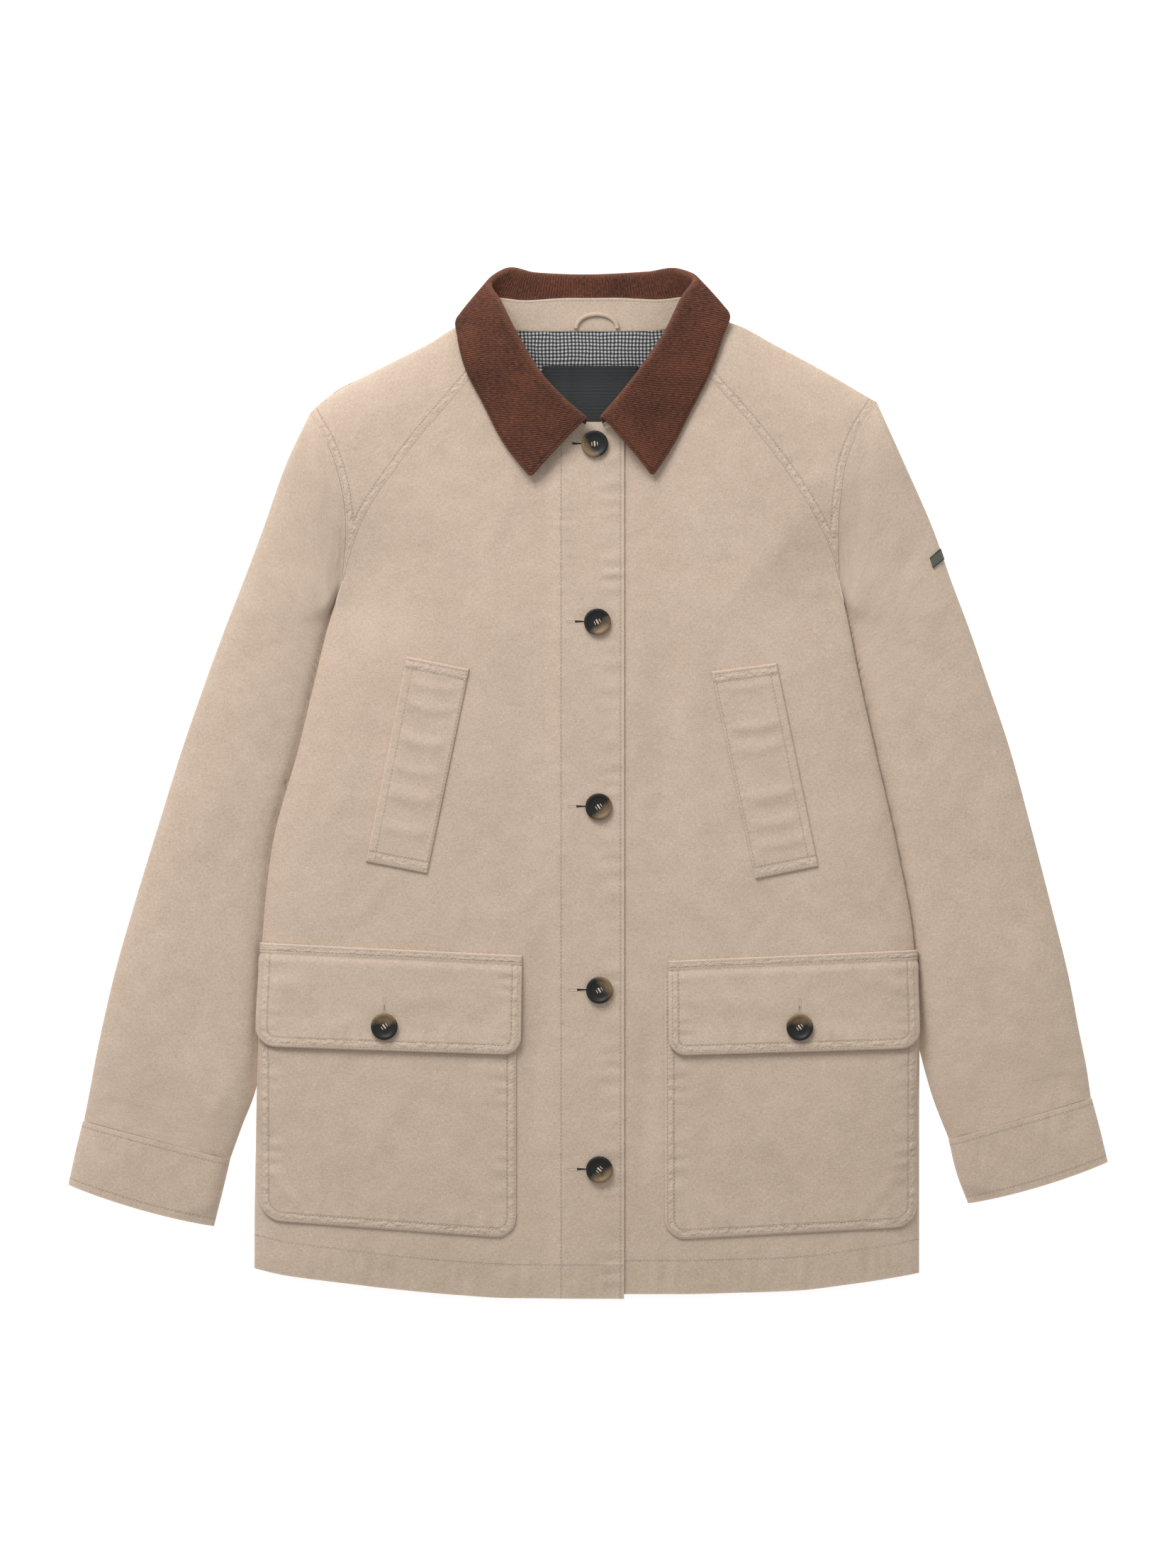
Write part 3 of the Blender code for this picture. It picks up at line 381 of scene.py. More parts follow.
def canvas_finish():
    """Matte cotton canvas: slubby yarns, soft mottling, painted shade in the pits along sewn rows
    and in the crease of a seam, a painted highlight on the band between two rows, edges worn paler.
    """
    made, tone, shader = new_finish("beige_canvas", 0.88, 0.1)
    place, u, v = woven(tone)
    weft = noise(tone, place, YARN, 2, (YARN_STRETCH, 1, 1))
    warp = noise(tone, place, YARN, 2, (1, YARN_STRETCH, 1))
    fleck = noise(tone, place, 620, 2)
    mottle = noise(tone, place, 70, 3)
    cloud = noise(tone, place, 16, 2)
    ripple = noise(tone, place, 230, 1) - 0.5
    # The mark is 1 and 2 on two sewn rows, between them in the band, and from 3 on at a seam
    seam, worn = tone.mark("sewn"), tone.mark("worn")
    first, second = ((1 - abs(seam - row) * 5).clamped() for row in (1, 2))
    row = tone.math("MAXIMUM", first, second * 0.4) * (fleck.clamped(0.35, 0.6) * 0.7 + 0.3)
    band = (1 - abs(seam - 1.5) * 2).clamped()
    yarn = weft * 0.5 + warp * 0.5
    blend = yarn * 2.1 + fleck * 0.6 + mottle * 0.5 + cloud * 0.4 - 1.3
    # Painted shade in the colour: the sewn rows' grooves and needle pits, and the crease along a
    # seam
    lines = tone.math("MAXIMUM", row * ROW_PAINTED_SHADE, (seam - 3).clamped() * SEAM_PAINTED_SHADE)
    colour = lines.mix(blend.clamped().mix(CANVAS_DARK, CANVAS_LIGHT),
                       tuple(0.45 * value for value in CANVAS_DARK))
    # Edges worn paler, and a painted highlight on the band between two sewn rows
    pale = tone.math("MAXIMUM", worn * EDGE_PALE, band * BAND_HIGHLIGHT)
    colour = pale.mix(colour, tuple(1.2 * value for value in CANVAS_LIGHT))
    height = (u.sine(WEAVE) * v.sine(WEAVE) * 0.03 + yarn * 0.16 + fleck * 0.1 + mottle * 0.6
              + cloud * 1.5 + band * (fleck * 0.25 + ripple * 2.0) - row * 0.3)
    return surfaced(made, shader, colour, height)


canvas = canvas_finish()


def back_panel():
    """The back: its edge runs up the side, round the armhole and in along the shoulder."""
    edge_rows = spaced(SIDE_LENGTH, 5) / SIDE_LENGTH
    edges = []
    for side in SIGN:
        hem_y = float(read(*BACK_HEM.values(), SIGN[side] * HEM_REACH))
        rows = between(hem_y, ARMPIT_Y, edge_rows[:-1])
        edge = np.stack([SIGN[side] * read(SIDE_EDGE["y"], SIDE_EDGE[side], rows), rows], axis=1)
        armhole = armhole_line(side, 0, SEAM / 2, np.linspace(0, 1, 28))[::-1]
        fold = curve(SHOULDER_EDGE[side], np.linspace(0, 1, 26))[::-1]
        edges.append(np.concatenate([edge, armhole, fold[1:]]))
    right, left = edges
    shares = spaced(BACK_WIDTH, 5.5) / BACK_WIDTH
    plan = between(right[:, None, :], left[:, None, :], shares[None, :, None])
    height = np.linspace(0, 1, len(right))[:, None]
    hem = read(*BACK_HEM.values(), plan[0, :, 0]) - plan[0, :, 1]
    neck = read(*BACK_NECK.values(), plan[-1, :, 0]) - plan[-1, :, 1]
    plan[..., 1] += hem * (1 - height) ** 6 + neck * ramp(height, NECK_FROM) ** 3
    x, y = plan[..., 0], plan[..., 1]
    free = np.minimum(ramp(reach(x, y) - np.abs(x), FREE_FROM_SIDE), 1 - ramp(y, FREE_TO_NECK))
    under = lift(x, y) + free * np.maximum(folds(x, y, BACK_CREASES), 0)
    grids = [np.stack([x, y, under + thick], axis=-1) for thick in (SHELL, 0)]
    return cloth("back_cloth", *grids, canvas)


stands_for(back_panel(), "back", "canvas", flat=(0.5, 0.73), held="laid", area=0.316,
           rests_on=["sleeve_right", "sleeve_left"])


# The lining and the neck label: black and white mini-check cotton shows below the back neck,
# with a small pleat beside its middle. A dark woven label, its ends folded under, is sewn on it.
LINING_X = (-82, 88)
LINING_SIZE = (170, 92)
LINING_FOOT_Y = 245
LINING_UP = 1.0        # past the back's neck edge, to the stand
PLEAT = table("x y lean length width rise",
    (-15, 300, 1, 80, 2.5, 0.5), (30, 320, -12, 40, 7, 0.35))
LABEL = {"x": 2, "top": 313, "width": 71, "height": 45}
THIN = 1.0
SHEET_EDGE = 0.6       # a thin sheet's thickness at its sides, as a share
CHECK = 2.7            # repeat of the check
LABEL_RIB = 0.0011     # pitch in metres


def lining_seat(x, y):
    return lift(x, y) + SHELL + STACK + np.maximum(folds(x, y, PLEAT), 0)


def level_sheet(name, x, y, seat, finish):
    """A thin sheet on its seat, its side edges rounded down."""
    inwards = roll(np.minimum(x - x.min(), x.max() - x))
    z = seat + THIN * between(SHEET_EDGE, 1, inwards)
    return cloth(name, np.stack([x, y, z], axis=-1), np.stack([x, y, seat], axis=-1), finish)


def check_finish():
    """Mini-check poplin: black where the dark stripes cross, grey where one runs, else white."""
    made, tone, shader = new_finish("mini_check", 0.8, 0.1)
    place, u, v = woven(tone)
    wander = noise(tone, place, 60, 2) * 0.0024
    across, along = ((way + wander).sine(CHECK * MM).clamped(-0.25, 0.25) for way in (u, v))
    colour = (across * along).clamped().mix((0.11, 0.11, 0.115), (0.53, 0.53, 0.53))
    colour = ((1 - across) * (1 - along)).clamped().mix(colour, (0.006, 0.006, 0.007))
    return surfaced(made, shader, colour, noise(tone, place, 1500, 2) * 0.08)


def label_finish():
    """Near-black damask tape with a fine rib."""
    made, tone, shader = new_finish("label_tape", 0.6, 0.15)
    place, _, v = woven(tone)
    rib = v.sine(LABEL_RIB) * 0.5 + noise(tone, place, 900, 2)
    colour = rib.clamped(0.0, 1.5).mix((0.006, 0.008, 0.009), (0.017, 0.020, 0.022))
    return surfaced(made, shader, colour, rib * 0.12)


across, up = np.meshgrid(*(spaced(size, 3) / size for size in LINING_SIZE))
x = between(*LINING_X, across)
y = between(LINING_FOOT_Y, read(*BACK_NECK.values(), x) + LINING_UP, up)
stands_for(level_sheet("lining_cloth", x, y, lining_seat(x, y), check_finish()),
           "lining_back", "check", flat=(0.17, 0.092), held="laid", rests_on=["back"])
across, down = np.meshgrid(spaced(LABEL["width"], 2.5), spaced(LABEL["height"], 2.5)[::-1])
x, y = LABEL["x"] - LABEL["width"] / 2 + across, LABEL["top"] - down
stands_for(level_sheet("label_tape_cloth", x, y, lining_seat(x, y) + THIN + STACK, label_finish()),
           "neck_label", "label_tape", flat=(0.071, 0.045), held="laid", rests_on=["lining_back"])


# The two fronts, each one canvas panel with its facing. The right one ends in a placket stitched
# down both sides, and laps over the left. They are sewn to the back at the side seams, rounding
# down to them, and turned up 25 mm at the hem under one chain-stitched row.
RAGLAN = {
    "right": [(-72, 324), (-88, 304), (-140, 241), (-170, 194), (-180, 165), (-184, 150)],
    "left": [(77, 320), (90, 305), (132, 256), (168, 203), (184, 168), (188, 150)]}
FRONT_NECK = table("x y",
    (-72, 324), (-64, 311), (-52, 297), (-33, 281), (-15, 272.5), (0, 270.5), (10, 270.5),
    (27, 275), (43, 283), (60, 297), (70, 309.5), (77, 320))
FRONT_HEM = table("x y",
    (-250, -362.5), (-227, -367.5), (-185, -373), (-143, -378), (-100, -382), (-58, -384.5),
    (27, -385))
UNDER_HEM = table("x y",
    (-20, -381.5), (69, -381.5), (112, -380.5), (154, -379), (197, -374), (218, -371), (248, -366))
LOFT = table("y rise",
    (-390, 9.5), (-345, 13.5), (-260, 17), (-100, 19), (100, 19), (170, 17.5), (240, 16.5),
    (290, 15), (350, 11))
ARMPIT_DIP = 9
ARMPIT_SPREAD = 42
SIDE_ROLL = 70
SHOULDER_ROLL = 42
PLACKET_EDGE = 27
PLACKET_RISE = 1.8
PLACKET_RAMP = (-32, -20)
PLACKET_ROWS = (-20, 24.3)
PLACKET_START, PLACKET_WIDTH = -32, 59     # of the fine columns that carry it
FRONT_WIDTH = {"right": 218, "left": 220}
FRONT_SIDE = 512                           # length of the side seam
UNDERLAP_X = (30, 26, 22, 16, 8, 0, -8, -14, -18)
HEM_TURN = 25
HEM_STITCHED = {"right": (-246, 25), "left": (26, 245)}
PLACKET_STITCHED = (-384, 272)
FINE = 2.7                                 # mesh gap that shows the creases
ROW_FADE = 4                               # the mark of a sewn row fades out over this
EDGE_WORN = (0.2, 1.6)                     # and the mark of a worn edge over these
# Puckers along sewn rows: their distance in, how far they reach, their pitch and rise
HEM_PUCKERS = ((13, 11, 10, 0.75), (HEM_TURN, 4, 5.5, 0.22))
PLACKET_PUCKERS = ((18, 8, 14, 0.55), (-19, 6, 9, 0.28))
PUCKERS_FROM_SIDE = (4, 20)
PUCKER_DRIFT = (1.4, 3.7)                  # of the ripples' phase: its swing, its slower pitch
PUCKER_FADE = (0.6, 0.4, 5.3)              # of their rise: its mean, its swing, its pitch
SLOPE_PROBE = 0.4
# Large folds first, as in the solids, then the creases
BODY_FOLDS = table("x y lean length width rise",
    (56, 30, 0, 150, 12, -1.6), (78, 20, 1, 150, 13, 1.4), (36, 60, -1, 110, 12, 1.0),
    (-50, 0, 1, 120, 13, -1.2), (-76, 40, 3, 120, 14, 1.0), (150, 190, 38, 110, 13, 1.3),
    (-120, 205, -40, 70, 14, 1.0), (205, 40, 10, 90, 13, -1.2), (-205, -60, -12, 70, 14, -1.0),
    (120, -60, 35, 40, 13, 0.9), (-39, -200, 0, 110, 8, -2.0), (161, 175, -24, 95, 9, 0.9),
    (88, -98, -36, 30, 5, 0.9), (168, -92, -42, 34, 5, 0.9), (126, -106, 30, 26, 5, -0.8),
    (-96, -98, 12, 30, 5, 0.8), (-160, -84, 38, 34, 6, 0.9), (-66, -96, -20, 24, 4, 0.7),
    (44, -230, 3, 90, 8, -1.8), (-22, 190, 4, 70, 7, 0.7), (52, 215, -14, 60, 7, 0.8),
    (-62, 205, 18, 66, 8, 0.8), (190, 100, -16, 46, 6, -0.8), (-196, 90, 14, 50, 6, 0.9),
    (105, 180, -8, 40, 8, -0.7), (-90, 150, -30, 34, 7, -0.7), (-190, -20, 30, 40, 7, 0.8),
    (-215, -95, -28, 26, 5, 0.8), (222, -70, 22, 40, 5, 0.8), (205, -100, -35, 26, 5, -0.8),
    (-150, -353, 4, 16, 5, 0.7), (118, -356, -5, 18, 6, 0.7), (-30, -360, 3, 20, 5, 0.5),
    (60, -352, 6, 20, 5, -0.5))


def moved_out(side, points, distance):
    """Points of a line that runs down and out from the neck, moved away from the body's middle."""
    along = np.gradient(points, axis=0)
    return points + unit(np.stack([-along[:, 1], along[:, 0]], axis=1)) * SIGN[side] * distance


def below_shoulder(x, y):
    """Distance in from the shoulder edge."""
    distance = []
    for side in SIGN:
        edge = np.array(SHOULDER_EDGE[side])
        out = np.abs(edge[:, 0])
        slope = (edge[-1, 1] - edge[0, 1]) / (out[-1] - out[0])
        height = read(out, edge[:, 1], np.abs(x)) + slope * np.minimum(np.abs(x) - out[0], 0)
        distance.append((height - y) * math.cos(math.atan(slope)))
    return np.where(x < 0, *distance)


def front_height(x, y, depth=0.0):
    """Height of the front's face, or of a face this far under it."""
    x, y = np.asarray(x, float), np.asarray(y, float)
    full = read(*LOFT.values(), y) + folds(x, y, BODY_FOLDS)
    armpit_x = np.where(x < 0, *(ARMHOLE[side][-1][0] for side in SIGN))
    from_armpit = np.hypot(x - armpit_x, y - ARMPIT_Y) / ARMPIT_SPREAD
    full = full - ARMPIT_DIP * np.exp(-from_armpit ** 2) - depth
    seat = lift(x, y) + SHELL + STACK
    seat_side = between(full, seat, 1 - ramp(y, TUCK_TOP))
    height = seat_side + (full - seat_side) * roll((reach(x, y) - depth - np.abs(x)) / SIDE_ROLL)
    return seat + (height - seat) * roll((below_shoulder(x, y) - depth) / SHOULDER_ROLL)


def placket_rise(x):
    """The right front is raised where it laps over the left one."""
    return PLACKET_RISE * ramp(x, PLACKET_RAMP)


def pucker(distance, along, reach_out, pitch, rise):
    """Small uneven cross ripples beside a sewn row, dying away from it."""
    turn = 2 * math.pi * np.asarray(along) / pitch
    fade = PUCKER_FADE[0] + PUCKER_FADE[1] * np.sin(turn / PUCKER_FADE[2] + 1)
    wave = np.sin(turn + PUCKER_DRIFT[0] * np.sin(turn / PUCKER_DRIFT[1])) * fade
    return rise * wave * np.exp(-(np.asarray(distance) / reach_out) ** 2)


def puckers(distance, along, rows):
    """The ripples of several rows of a table."""
    return sum(pucker(distance - row, along, *ripple) for row, *ripple in rows)


def beside(x, y, line):
    """Distance in plan from a line, and how far along it the nearest place is."""
    line = np.asarray(line, float)[:, :2]
    start, leg = line[:-1], np.diff(line, axis=0)
    length = np.linalg.norm(leg, axis=1)
    spot = np.stack([x, y], axis=-1)[..., None, :] - start
    share = np.clip((spot * leg).sum(axis=-1) / length ** 2, 0, 1)
    gap = np.linalg.norm(spot - share[..., None] * leg, axis=-1)
    nearest = gap.argmin(axis=-1)[..., None]
    along = lengths(line)[:-1] + share * length
    return (np.take_along_axis(gap, nearest, axis=-1)[..., 0],
            np.take_along_axis(along, nearest, axis=-1)[..., 0])


def single_row(distance):
    """Mark of one sewn row, from the distance to it: 1 on the row, 0 away from it."""
    return np.maximum(0, 1 - np.abs(distance) / ROW_FADE)


def double_row(inset, outer, inner):
    """Mark of two sewn rows, from the distance in from the edge: 2 on one, 1 on the other."""
    return np.interp(inset, [0, outer, inner, inner + ROW_FADE], [3, 2, 1, 0])


def seam_rows(inset, outer, inner, depth):
    """The same beside a seam, itself marked from 3 up to 4 as it is drawn in deeper, for the
    painted shade of its crease.
    """
    return np.interp(inset, [0, 0.5, outer, inner, inner + ROW_FADE], [3 + depth, 3, 2, 1, 0])


def hem_line(side, x):
    """How far down the front's hem lies at x."""
    return read(*(FRONT_HEM if side == "right" else UNDER_HEM).values(), x)


def sewn_detail(side, x, y):
    """Height of the puckers along the front's stitched rows."""
    height = puckers(y - hem_line(side, x), x, HEM_PUCKERS)
    if side == "right":
        height = height + puckers(x, y, PLACKET_PUCKERS)
    return height * ramp(reach(x, y) - np.abs(x), PUCKERS_FROM_SIDE)


def front_face(side, x, y, depth=0.0):
    z = front_height(x, y, depth)
    return z + placket_rise(x) if side == "right" else z


def front_point(side, x, y, out, face=front_face):
    """Points of the front's face at plan x, y, moved out along its normal."""
    z, step_by = face(side, x, y), SLOPE_PROBE
    slope_x = (face(side, x + step_by, y) - face(side, x - step_by, y)) / (2 * step_by)
    slope_y = (face(side, x, y + step_by) - face(side, x, y - step_by)) / (2 * step_by)
    normal = unit(np.stack([-slope_x, -slope_y, np.ones_like(slope_x)], axis=-1))
    return np.stack([x, y, z], axis=-1) + normal * np.asarray(out)[..., None]


def sewn_face(side, x, y):
    return front_face(side, x, y) + sewn_detail(side, x, y)


def front_columns(side):
    """Columns from the side edge to the placket, as shares, then in millimetres to its edge."""
    shares = spaced(FRONT_WIDTH[side], FINE, edges=(True, False)) / FRONT_WIDTH[side]
    if side == "left":
        return shares, np.array(UNDERLAP_X, float)
    rows = [row - PLACKET_START for row in PLACKET_ROWS]
    return shares, PLACKET_START + spaced(PLACKET_WIDTH, FINE, rows, (False, True))


def front_plan(side, depth):
    """Plan of the front's face, or of a face this far under it: to the armpit, then to the neck."""
    shares, inner = front_columns(side)
    up = spaced(FRONT_SIDE, FINE, [HEM_TURN], (True, False)) / FRONT_SIDE
    raglan = moved_out(side, curve(RAGLAN[side], np.linspace(0, 1, 84)), -SEAM / 2)[::-1]
    foot = float(hem_line(side, SIGN[side] * SIDE_EDGE[side][1]))
    side_y = between(foot, ARMPIT_Y, up)
    side_x = SIGN[side] * (read(SIDE_EDGE["y"], SIDE_EDGE[side], side_y) - depth)
    outer_x = np.concatenate([side_x, raglan[1:, 0]])[:, None]
    x = np.concatenate([between(outer_x, inner[0], shares),
                        np.broadcast_to(inner[1:], (len(outer_x), len(inner) - 1))], axis=1)
    lower_x = x[:len(up)]
    lower_y = between(hem_line(side, lower_x), ARMPIT_Y, up[:, None])
    rise = np.linalg.norm(raglan - raglan[0], axis=1)
    rise = (rise / rise[-1])[1:, None]
    neck_y = read(*FRONT_NECK.values(), inner)
    neck_x = between(raglan[-1][0], inner[0], shares)
    bow = read(*FRONT_NECK.values(), neck_x)
    bow = bow - between(raglan[-1][1], neck_y[0], shares)
    inner_y = between(ARMPIT_Y, neck_y[None, :], rise)
    upper_y = between(raglan[1:, 1:], inner_y[:, :1], shares) + bow * rise ** 2
    upper_y = np.concatenate([upper_y, inner_y[:, 1:]], axis=1)
    return x, np.concatenate([lower_y, upper_y])


def front_panel(side):
    faces = []
    for depth in (0, SHELL):
        x, y = front_plan(side, depth)
        z = front_face(side, x, y, depth) + sewn_detail(side, x, y)
        faces.append(np.stack([x, y, z], axis=-1))
    x, y = faces[0][..., 0], faces[0][..., 1]
    up = y - hem_line(side, x)
    seam, edge = single_row(up - HEM_TURN), np.minimum(up, reach(x, y) - np.abs(x))
    if side == "right":
        seam = np.maximum.reduce([seam] + [single_row(x - row) for row in PLACKET_ROWS])
        edge = np.minimum(edge, PLACKET_EDGE - x)
    marks = {"sewn": seam, "worn": 1 - ramp(edge, EDGE_WORN)}
    return cloth("front_cloth_" + side, *faces, canvas, marks=marks)


# Stitches: each a small grain of pale thread, half sunk in the cloth.
PITCH = 2.7
THREAD = 0.27
THREAD_COLOUR = (0.64, 0.53, 0.42)
STITCH_ENDS = (0.1, 0.9)                              # shares of the pitch
GRAIN = ((0.22, 0.85), (0.5, 1.0), (0.78, 0.85))      # how thick it is along its length


def along_path(path, pitch):
    """Where the stitches start and end, one every pitch along a path of points."""
    stops = np.arange(0, lengths(path)[-1] - pitch * 0.6, pitch)
    return [placed(path, stops + share * pitch) for share in STITCH_ENDS]


def grains(paths, pitch=PITCH, radius=THREAD):
    """Points and faces of stitches laid along paths on the cloth."""
    points, faces = [], []
    for path in paths:
        for start, end in zip(*along_path(np.asarray(path, float), pitch)):
            way = unit(end - start)
            flat = unit(np.cross([0, 0, 1.0], way))
            up = np.cross(way, flat)
            base = len(points)
            points.append(start - up * radius * 0.5)
            for share, size in GRAIN:
                for turn in np.radians([0, 90, 180, 270]):
                    off = (math.cos(turn) * flat + math.sin(turn) * up * 0.9) * radius * size
                    points.append(between(start, end, share) + off + up * radius * 0.25)
            points.append(end - up * radius * 0.5)
            for k in range(4):
                n = (k + 1) % 4
                faces.append((base, base + 1 + n, base + 1 + k))
                for layer in (1, 5):
                    faces.append((base + layer + k, base + layer + n, base + layer + 4 + n,
                                  base + layer + 4 + k))
                faces.append((base + 13, base + 9 + k, base + 9 + n))
    return points, faces


def stitched(name, paths, pitch=PITCH, radius=THREAD):
    """One object of all the stitches along the paths."""
    points, faces = grains(paths, pitch, radius)
    mesh = bpy.data.meshes.new(name)
    mesh.from_pydata((np.array(points) * MM).tolist(), [], faces)
    mesh.shade_smooth()
    piece = linked(name, mesh, thread)
    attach(piece, "root")


def on_front(side, x, y):
    """A path on the front's face, puckers and all, from its plan."""
    x, y = np.broadcast_arrays(np.asarray(x, float), np.asarray(y, float))
    return front_point(side, x, y, 0, sewn_face)


thread = plain_finish("pale_thread", THREAD_COLOUR, 0.7, 0.2)
front_paths = []
for side in SIGN:
    stands_for(front_panel(side), "front_" + side, "canvas", flat=(0.277, 0.71), held="laid",
               area=0.161, rests_on=["back"])
    stations = np.linspace(*HEM_STITCHED[side], 200)
    front_paths.append(on_front(side, stations, hem_line(side, stations) + HEM_TURN))
front_paths += [on_front("right", row, np.linspace(*PLACKET_STITCHED, 300)) for row in PLACKET_ROWS]
stitched("front_stitches", front_paths)


# The split-raglan shoulder panels, between the raglan seam, the shoulder edge and the armhole.
# Their seams are pressed towards them and stitched twice, on the panel's side.
TOPSTITCH = (1.3, 5.6)   # rows in from a seam
RAGLAN_PUCKERS = ((3.5, 3.2, 4.6, 0.28), (9, 8, 16, 0.3))
ARMHOLE_PUCKERS = ((3.5, 3.2, 4.8, 0.28),)
SHOULDER_WIDTH = 78
RAGLAN_STITCHED, ARMHOLE_STITCHED = (0.01, 0.86), (0.03, 0.72)   # shares of their lengths


def shoulder_line(side, shares):
    """The panel's inner edge, along the raglan seam."""
    return moved_out(side, curve(RAGLAN[side], shares), SEAM / 2)


def shoulder_panel(side):
    fold_shares, down = np.linspace(0, 1, 30), np.linspace(0, 1, 64)
    rows = np.concatenate([np.linspace(0, 0.5, 30)[:-1], between(0.5, 1, down)])
    across = spaced(SHOULDER_WIDTH, 1.9) / SHOULDER_WIDTH
    raglan = shoulder_line(side, rows)
    armhole = armhole_line(side, 0, SEAM / 2, down)
    faces = []
    for depth in (0, SHELL):
        fold = moved_out(side, curve(SHOULDER_EDGE[side], fold_shares), -depth)
        outer = np.concatenate([fold[:-1], armhole_line(side, depth, SEAM / 2, down)])
        plan = between(raglan[:, None, :], outer[:, None, :], across[None, :, None])[:-1]
        x, y = plan[..., 0], plan[..., 1]
        from_raglan, along = beside(x, y, raglan)
        from_armhole, down_armhole = beside(x, y, armhole)
        z = (front_height(x, y, depth) + puckers(from_raglan, along, RAGLAN_PUCKERS)
             + puckers(from_armhole, down_armhole, ARMHOLE_PUCKERS))
        faces.append(np.stack([x, y, z], axis=-1))
        if depth == 0:
            # The seams' marks set the painted shade in their creases: full on the raglan, less at
            # the armhole
            seam = np.maximum(seam_rows(from_raglan, *TOPSTITCH, 1),
                              seam_rows(from_armhole, *TOPSTITCH, 0.6))
    return cloth("shoulder_cloth_" + side, *faces, canvas, -40 * SIGN[side], {"sewn": seam})


def on_body(points):
    """A path on the front's smooth face from its plan."""
    return np.concatenate([points, front_height(*points.T)[:, None]], axis=1)


shoulder_paths = []
for side in SIGN:
    stands_for(shoulder_panel(side), "shoulder_" + side, "canvas", flat=(0.14, 0.195), held="laid",
               area=0.0099, rests_on=["back"])
    for row in TOPSTITCH:
        raglan = curve(RAGLAN[side], np.linspace(*RAGLAN_STITCHED, 90))
        shoulder_paths.append(on_body(moved_out(side, raglan, SEAM / 2 + row)))
        shoulder_paths.append(on_body(armhole_line(side, 0, SEAM / 2 + row,
                                                   np.linspace(*ARMHOLE_STITCHED, 60))))
stitched("shoulder_stitches", shoulder_paths)


# The sleeves: canvas tubes laid flat, sewn into the armholes, their inner edges tucked under the
# body. Soft creases run down and across them, deepest below the armhole and in the elbow's bend.
SLEEVE = {
    "right": table("outer_x outer_y inner_x inner_y crest",
        (-208.1, 278, -184.1, 150, 15), (-226, 240, -189.1, 135, 14),
        (-243, 192, -190.5, 119, 13.5), (-258, 152, -183, 93, 13.5), (-272, 116, -171, 60, 14),
        (-286, 78, -167, 28, 14), (-303, 29, -179, -14, 13.5), (-319, -22, -200, -60, 13.5),
        (-338, -84, -223, -122, 13), (-354, -140, -237, -178, 12.5), (-366, -192, -248.5, -228, 12),
        (-373, -229, -259, -256, 11.5), (-377.5, -252, -268, -281, 11)),
    "left": table("outer_x outer_y inner_x inner_y crest",
        (216.1, 286, 188.1, 150, 15), (236.5, 241, 191.6, 135, 14), (257.5, 193, 191.8, 119, 13.5),
        (272, 152, 185, 93, 13.5), (285.5, 116, 173, 60, 14), (298.5, 78, 169, 28, 14),
        (315, 29, 182, -14, 13.5), (329, -22, 202, -56, 13.5), (345, -84, 224, -112, 13),
        (359, -140, 238, -160, 12.5), (367.5, -184, 247.8, -198, 12),
        (373, -211, 257.8, -234, 11.5), (376.5, -235, 270.2, -266, 11))}
SLEEVE_FOLDS = table("x y lean length width rise",
    (-250, 130, -20, 70, 12, 1.4), (-290, 20, -14, 60, 12, -1.3), (-330, -110, -20, 60, 12, 1.2),
    (-232, 175, -30, 45, 10, -1.6), (262, 140, 20, 70, 12, 1.4), (300, 10, 16, 60, 12, -1.3),
    (338, -120, 20, 60, 12, 1.2), (240, 170, 28, 45, 10, -1.6), (-190, 222, 8, 62, 5, -1.4),
    (-204, 205, -6, 50, 6, 1), (-215, 60, -38, 46, 8, 1), (-262, -30, 24, 60, 8, -0.9),
    (-245, -70, 40, 34, 6, 0.9), (-300, -60, -30, 40, 7, 0.8), (-300, -190, 14, 50, 8, -0.9),
    (-340, -200, -8, 44, 7, 0.8), (-275, -235, 30, 24, 5, 0.8), (-318, -250, 10, 20, 5, 0.6),
    (-352, -236, 16, 20, 4, -0.6), (-240, 100, 60, 30, 7, -0.8), (196, 226, -8, 60, 5, -1.2),
    (212, 208, 8, 50, 6, 1), (218, 60, 38, 46, 8, 1), (268, -30, -24, 60, 8, -0.9),
    (250, -66, -38, 34, 6, 0.9), (310, -60, 28, 40, 7, 0.8), (306, -180, -14, 50, 8, -0.9),
    (345, -190, 8, 44, 7, 0.8), (285, -225, -30, 24, 5, 0.8), (322, -236, -10, 20, 5, 0.6),
    (355, -222, -16, 20, 4, -0.6), (246, 100, -60, 30, 7, -0.8))
TUCK_THICK = 4.4
FOLD_MIDDLE = 2.3
OUTER_ROLL = 45
INNER_ROLL = (12, 35)
INNER_ROLL_FROM = 0.72
EDGE_ROLL = 4
FREE_START = 1.5
FREE_WIDTH = 38
FREE_RISE = 10
FREE_TOP = (ARMPIT_Y - 32, ARMPIT_Y + 30)
TOP_RISE = 40
TOP_FROM_BODY = (0, 5)
SLEEVE_PUCKERS = {"armhole": (10, 12, 0.35), "cuff": (12, 11, 0.4)}
PUCKERS_FROM_FOLD = (2, 14)
LIMIT_BLEND = 2
ARMHOLE_REACH = 0.155
SLEEVE_LENGTH = 590
UPPER = spaced(112, 2.5) / 112
LOWER = np.linspace(1, 0, 15)[1:-1]


def follow(at, values, x):
    """Smooth reading of a table column that follows its rows evenly."""
    return hermite(at, values, np.gradient(values, at), np.asarray(x, float))


def section_ends(rows, share):
    """Outer edge, inner edge and crest height of a sleeve at a share of its length."""
    at = np.linspace(0, 1, len(rows["crest"]))
    row = [float(follow(at, rows[key], share)) for key in rows]
    return np.array(row[:2]), np.array(row[2:4]), row[4]


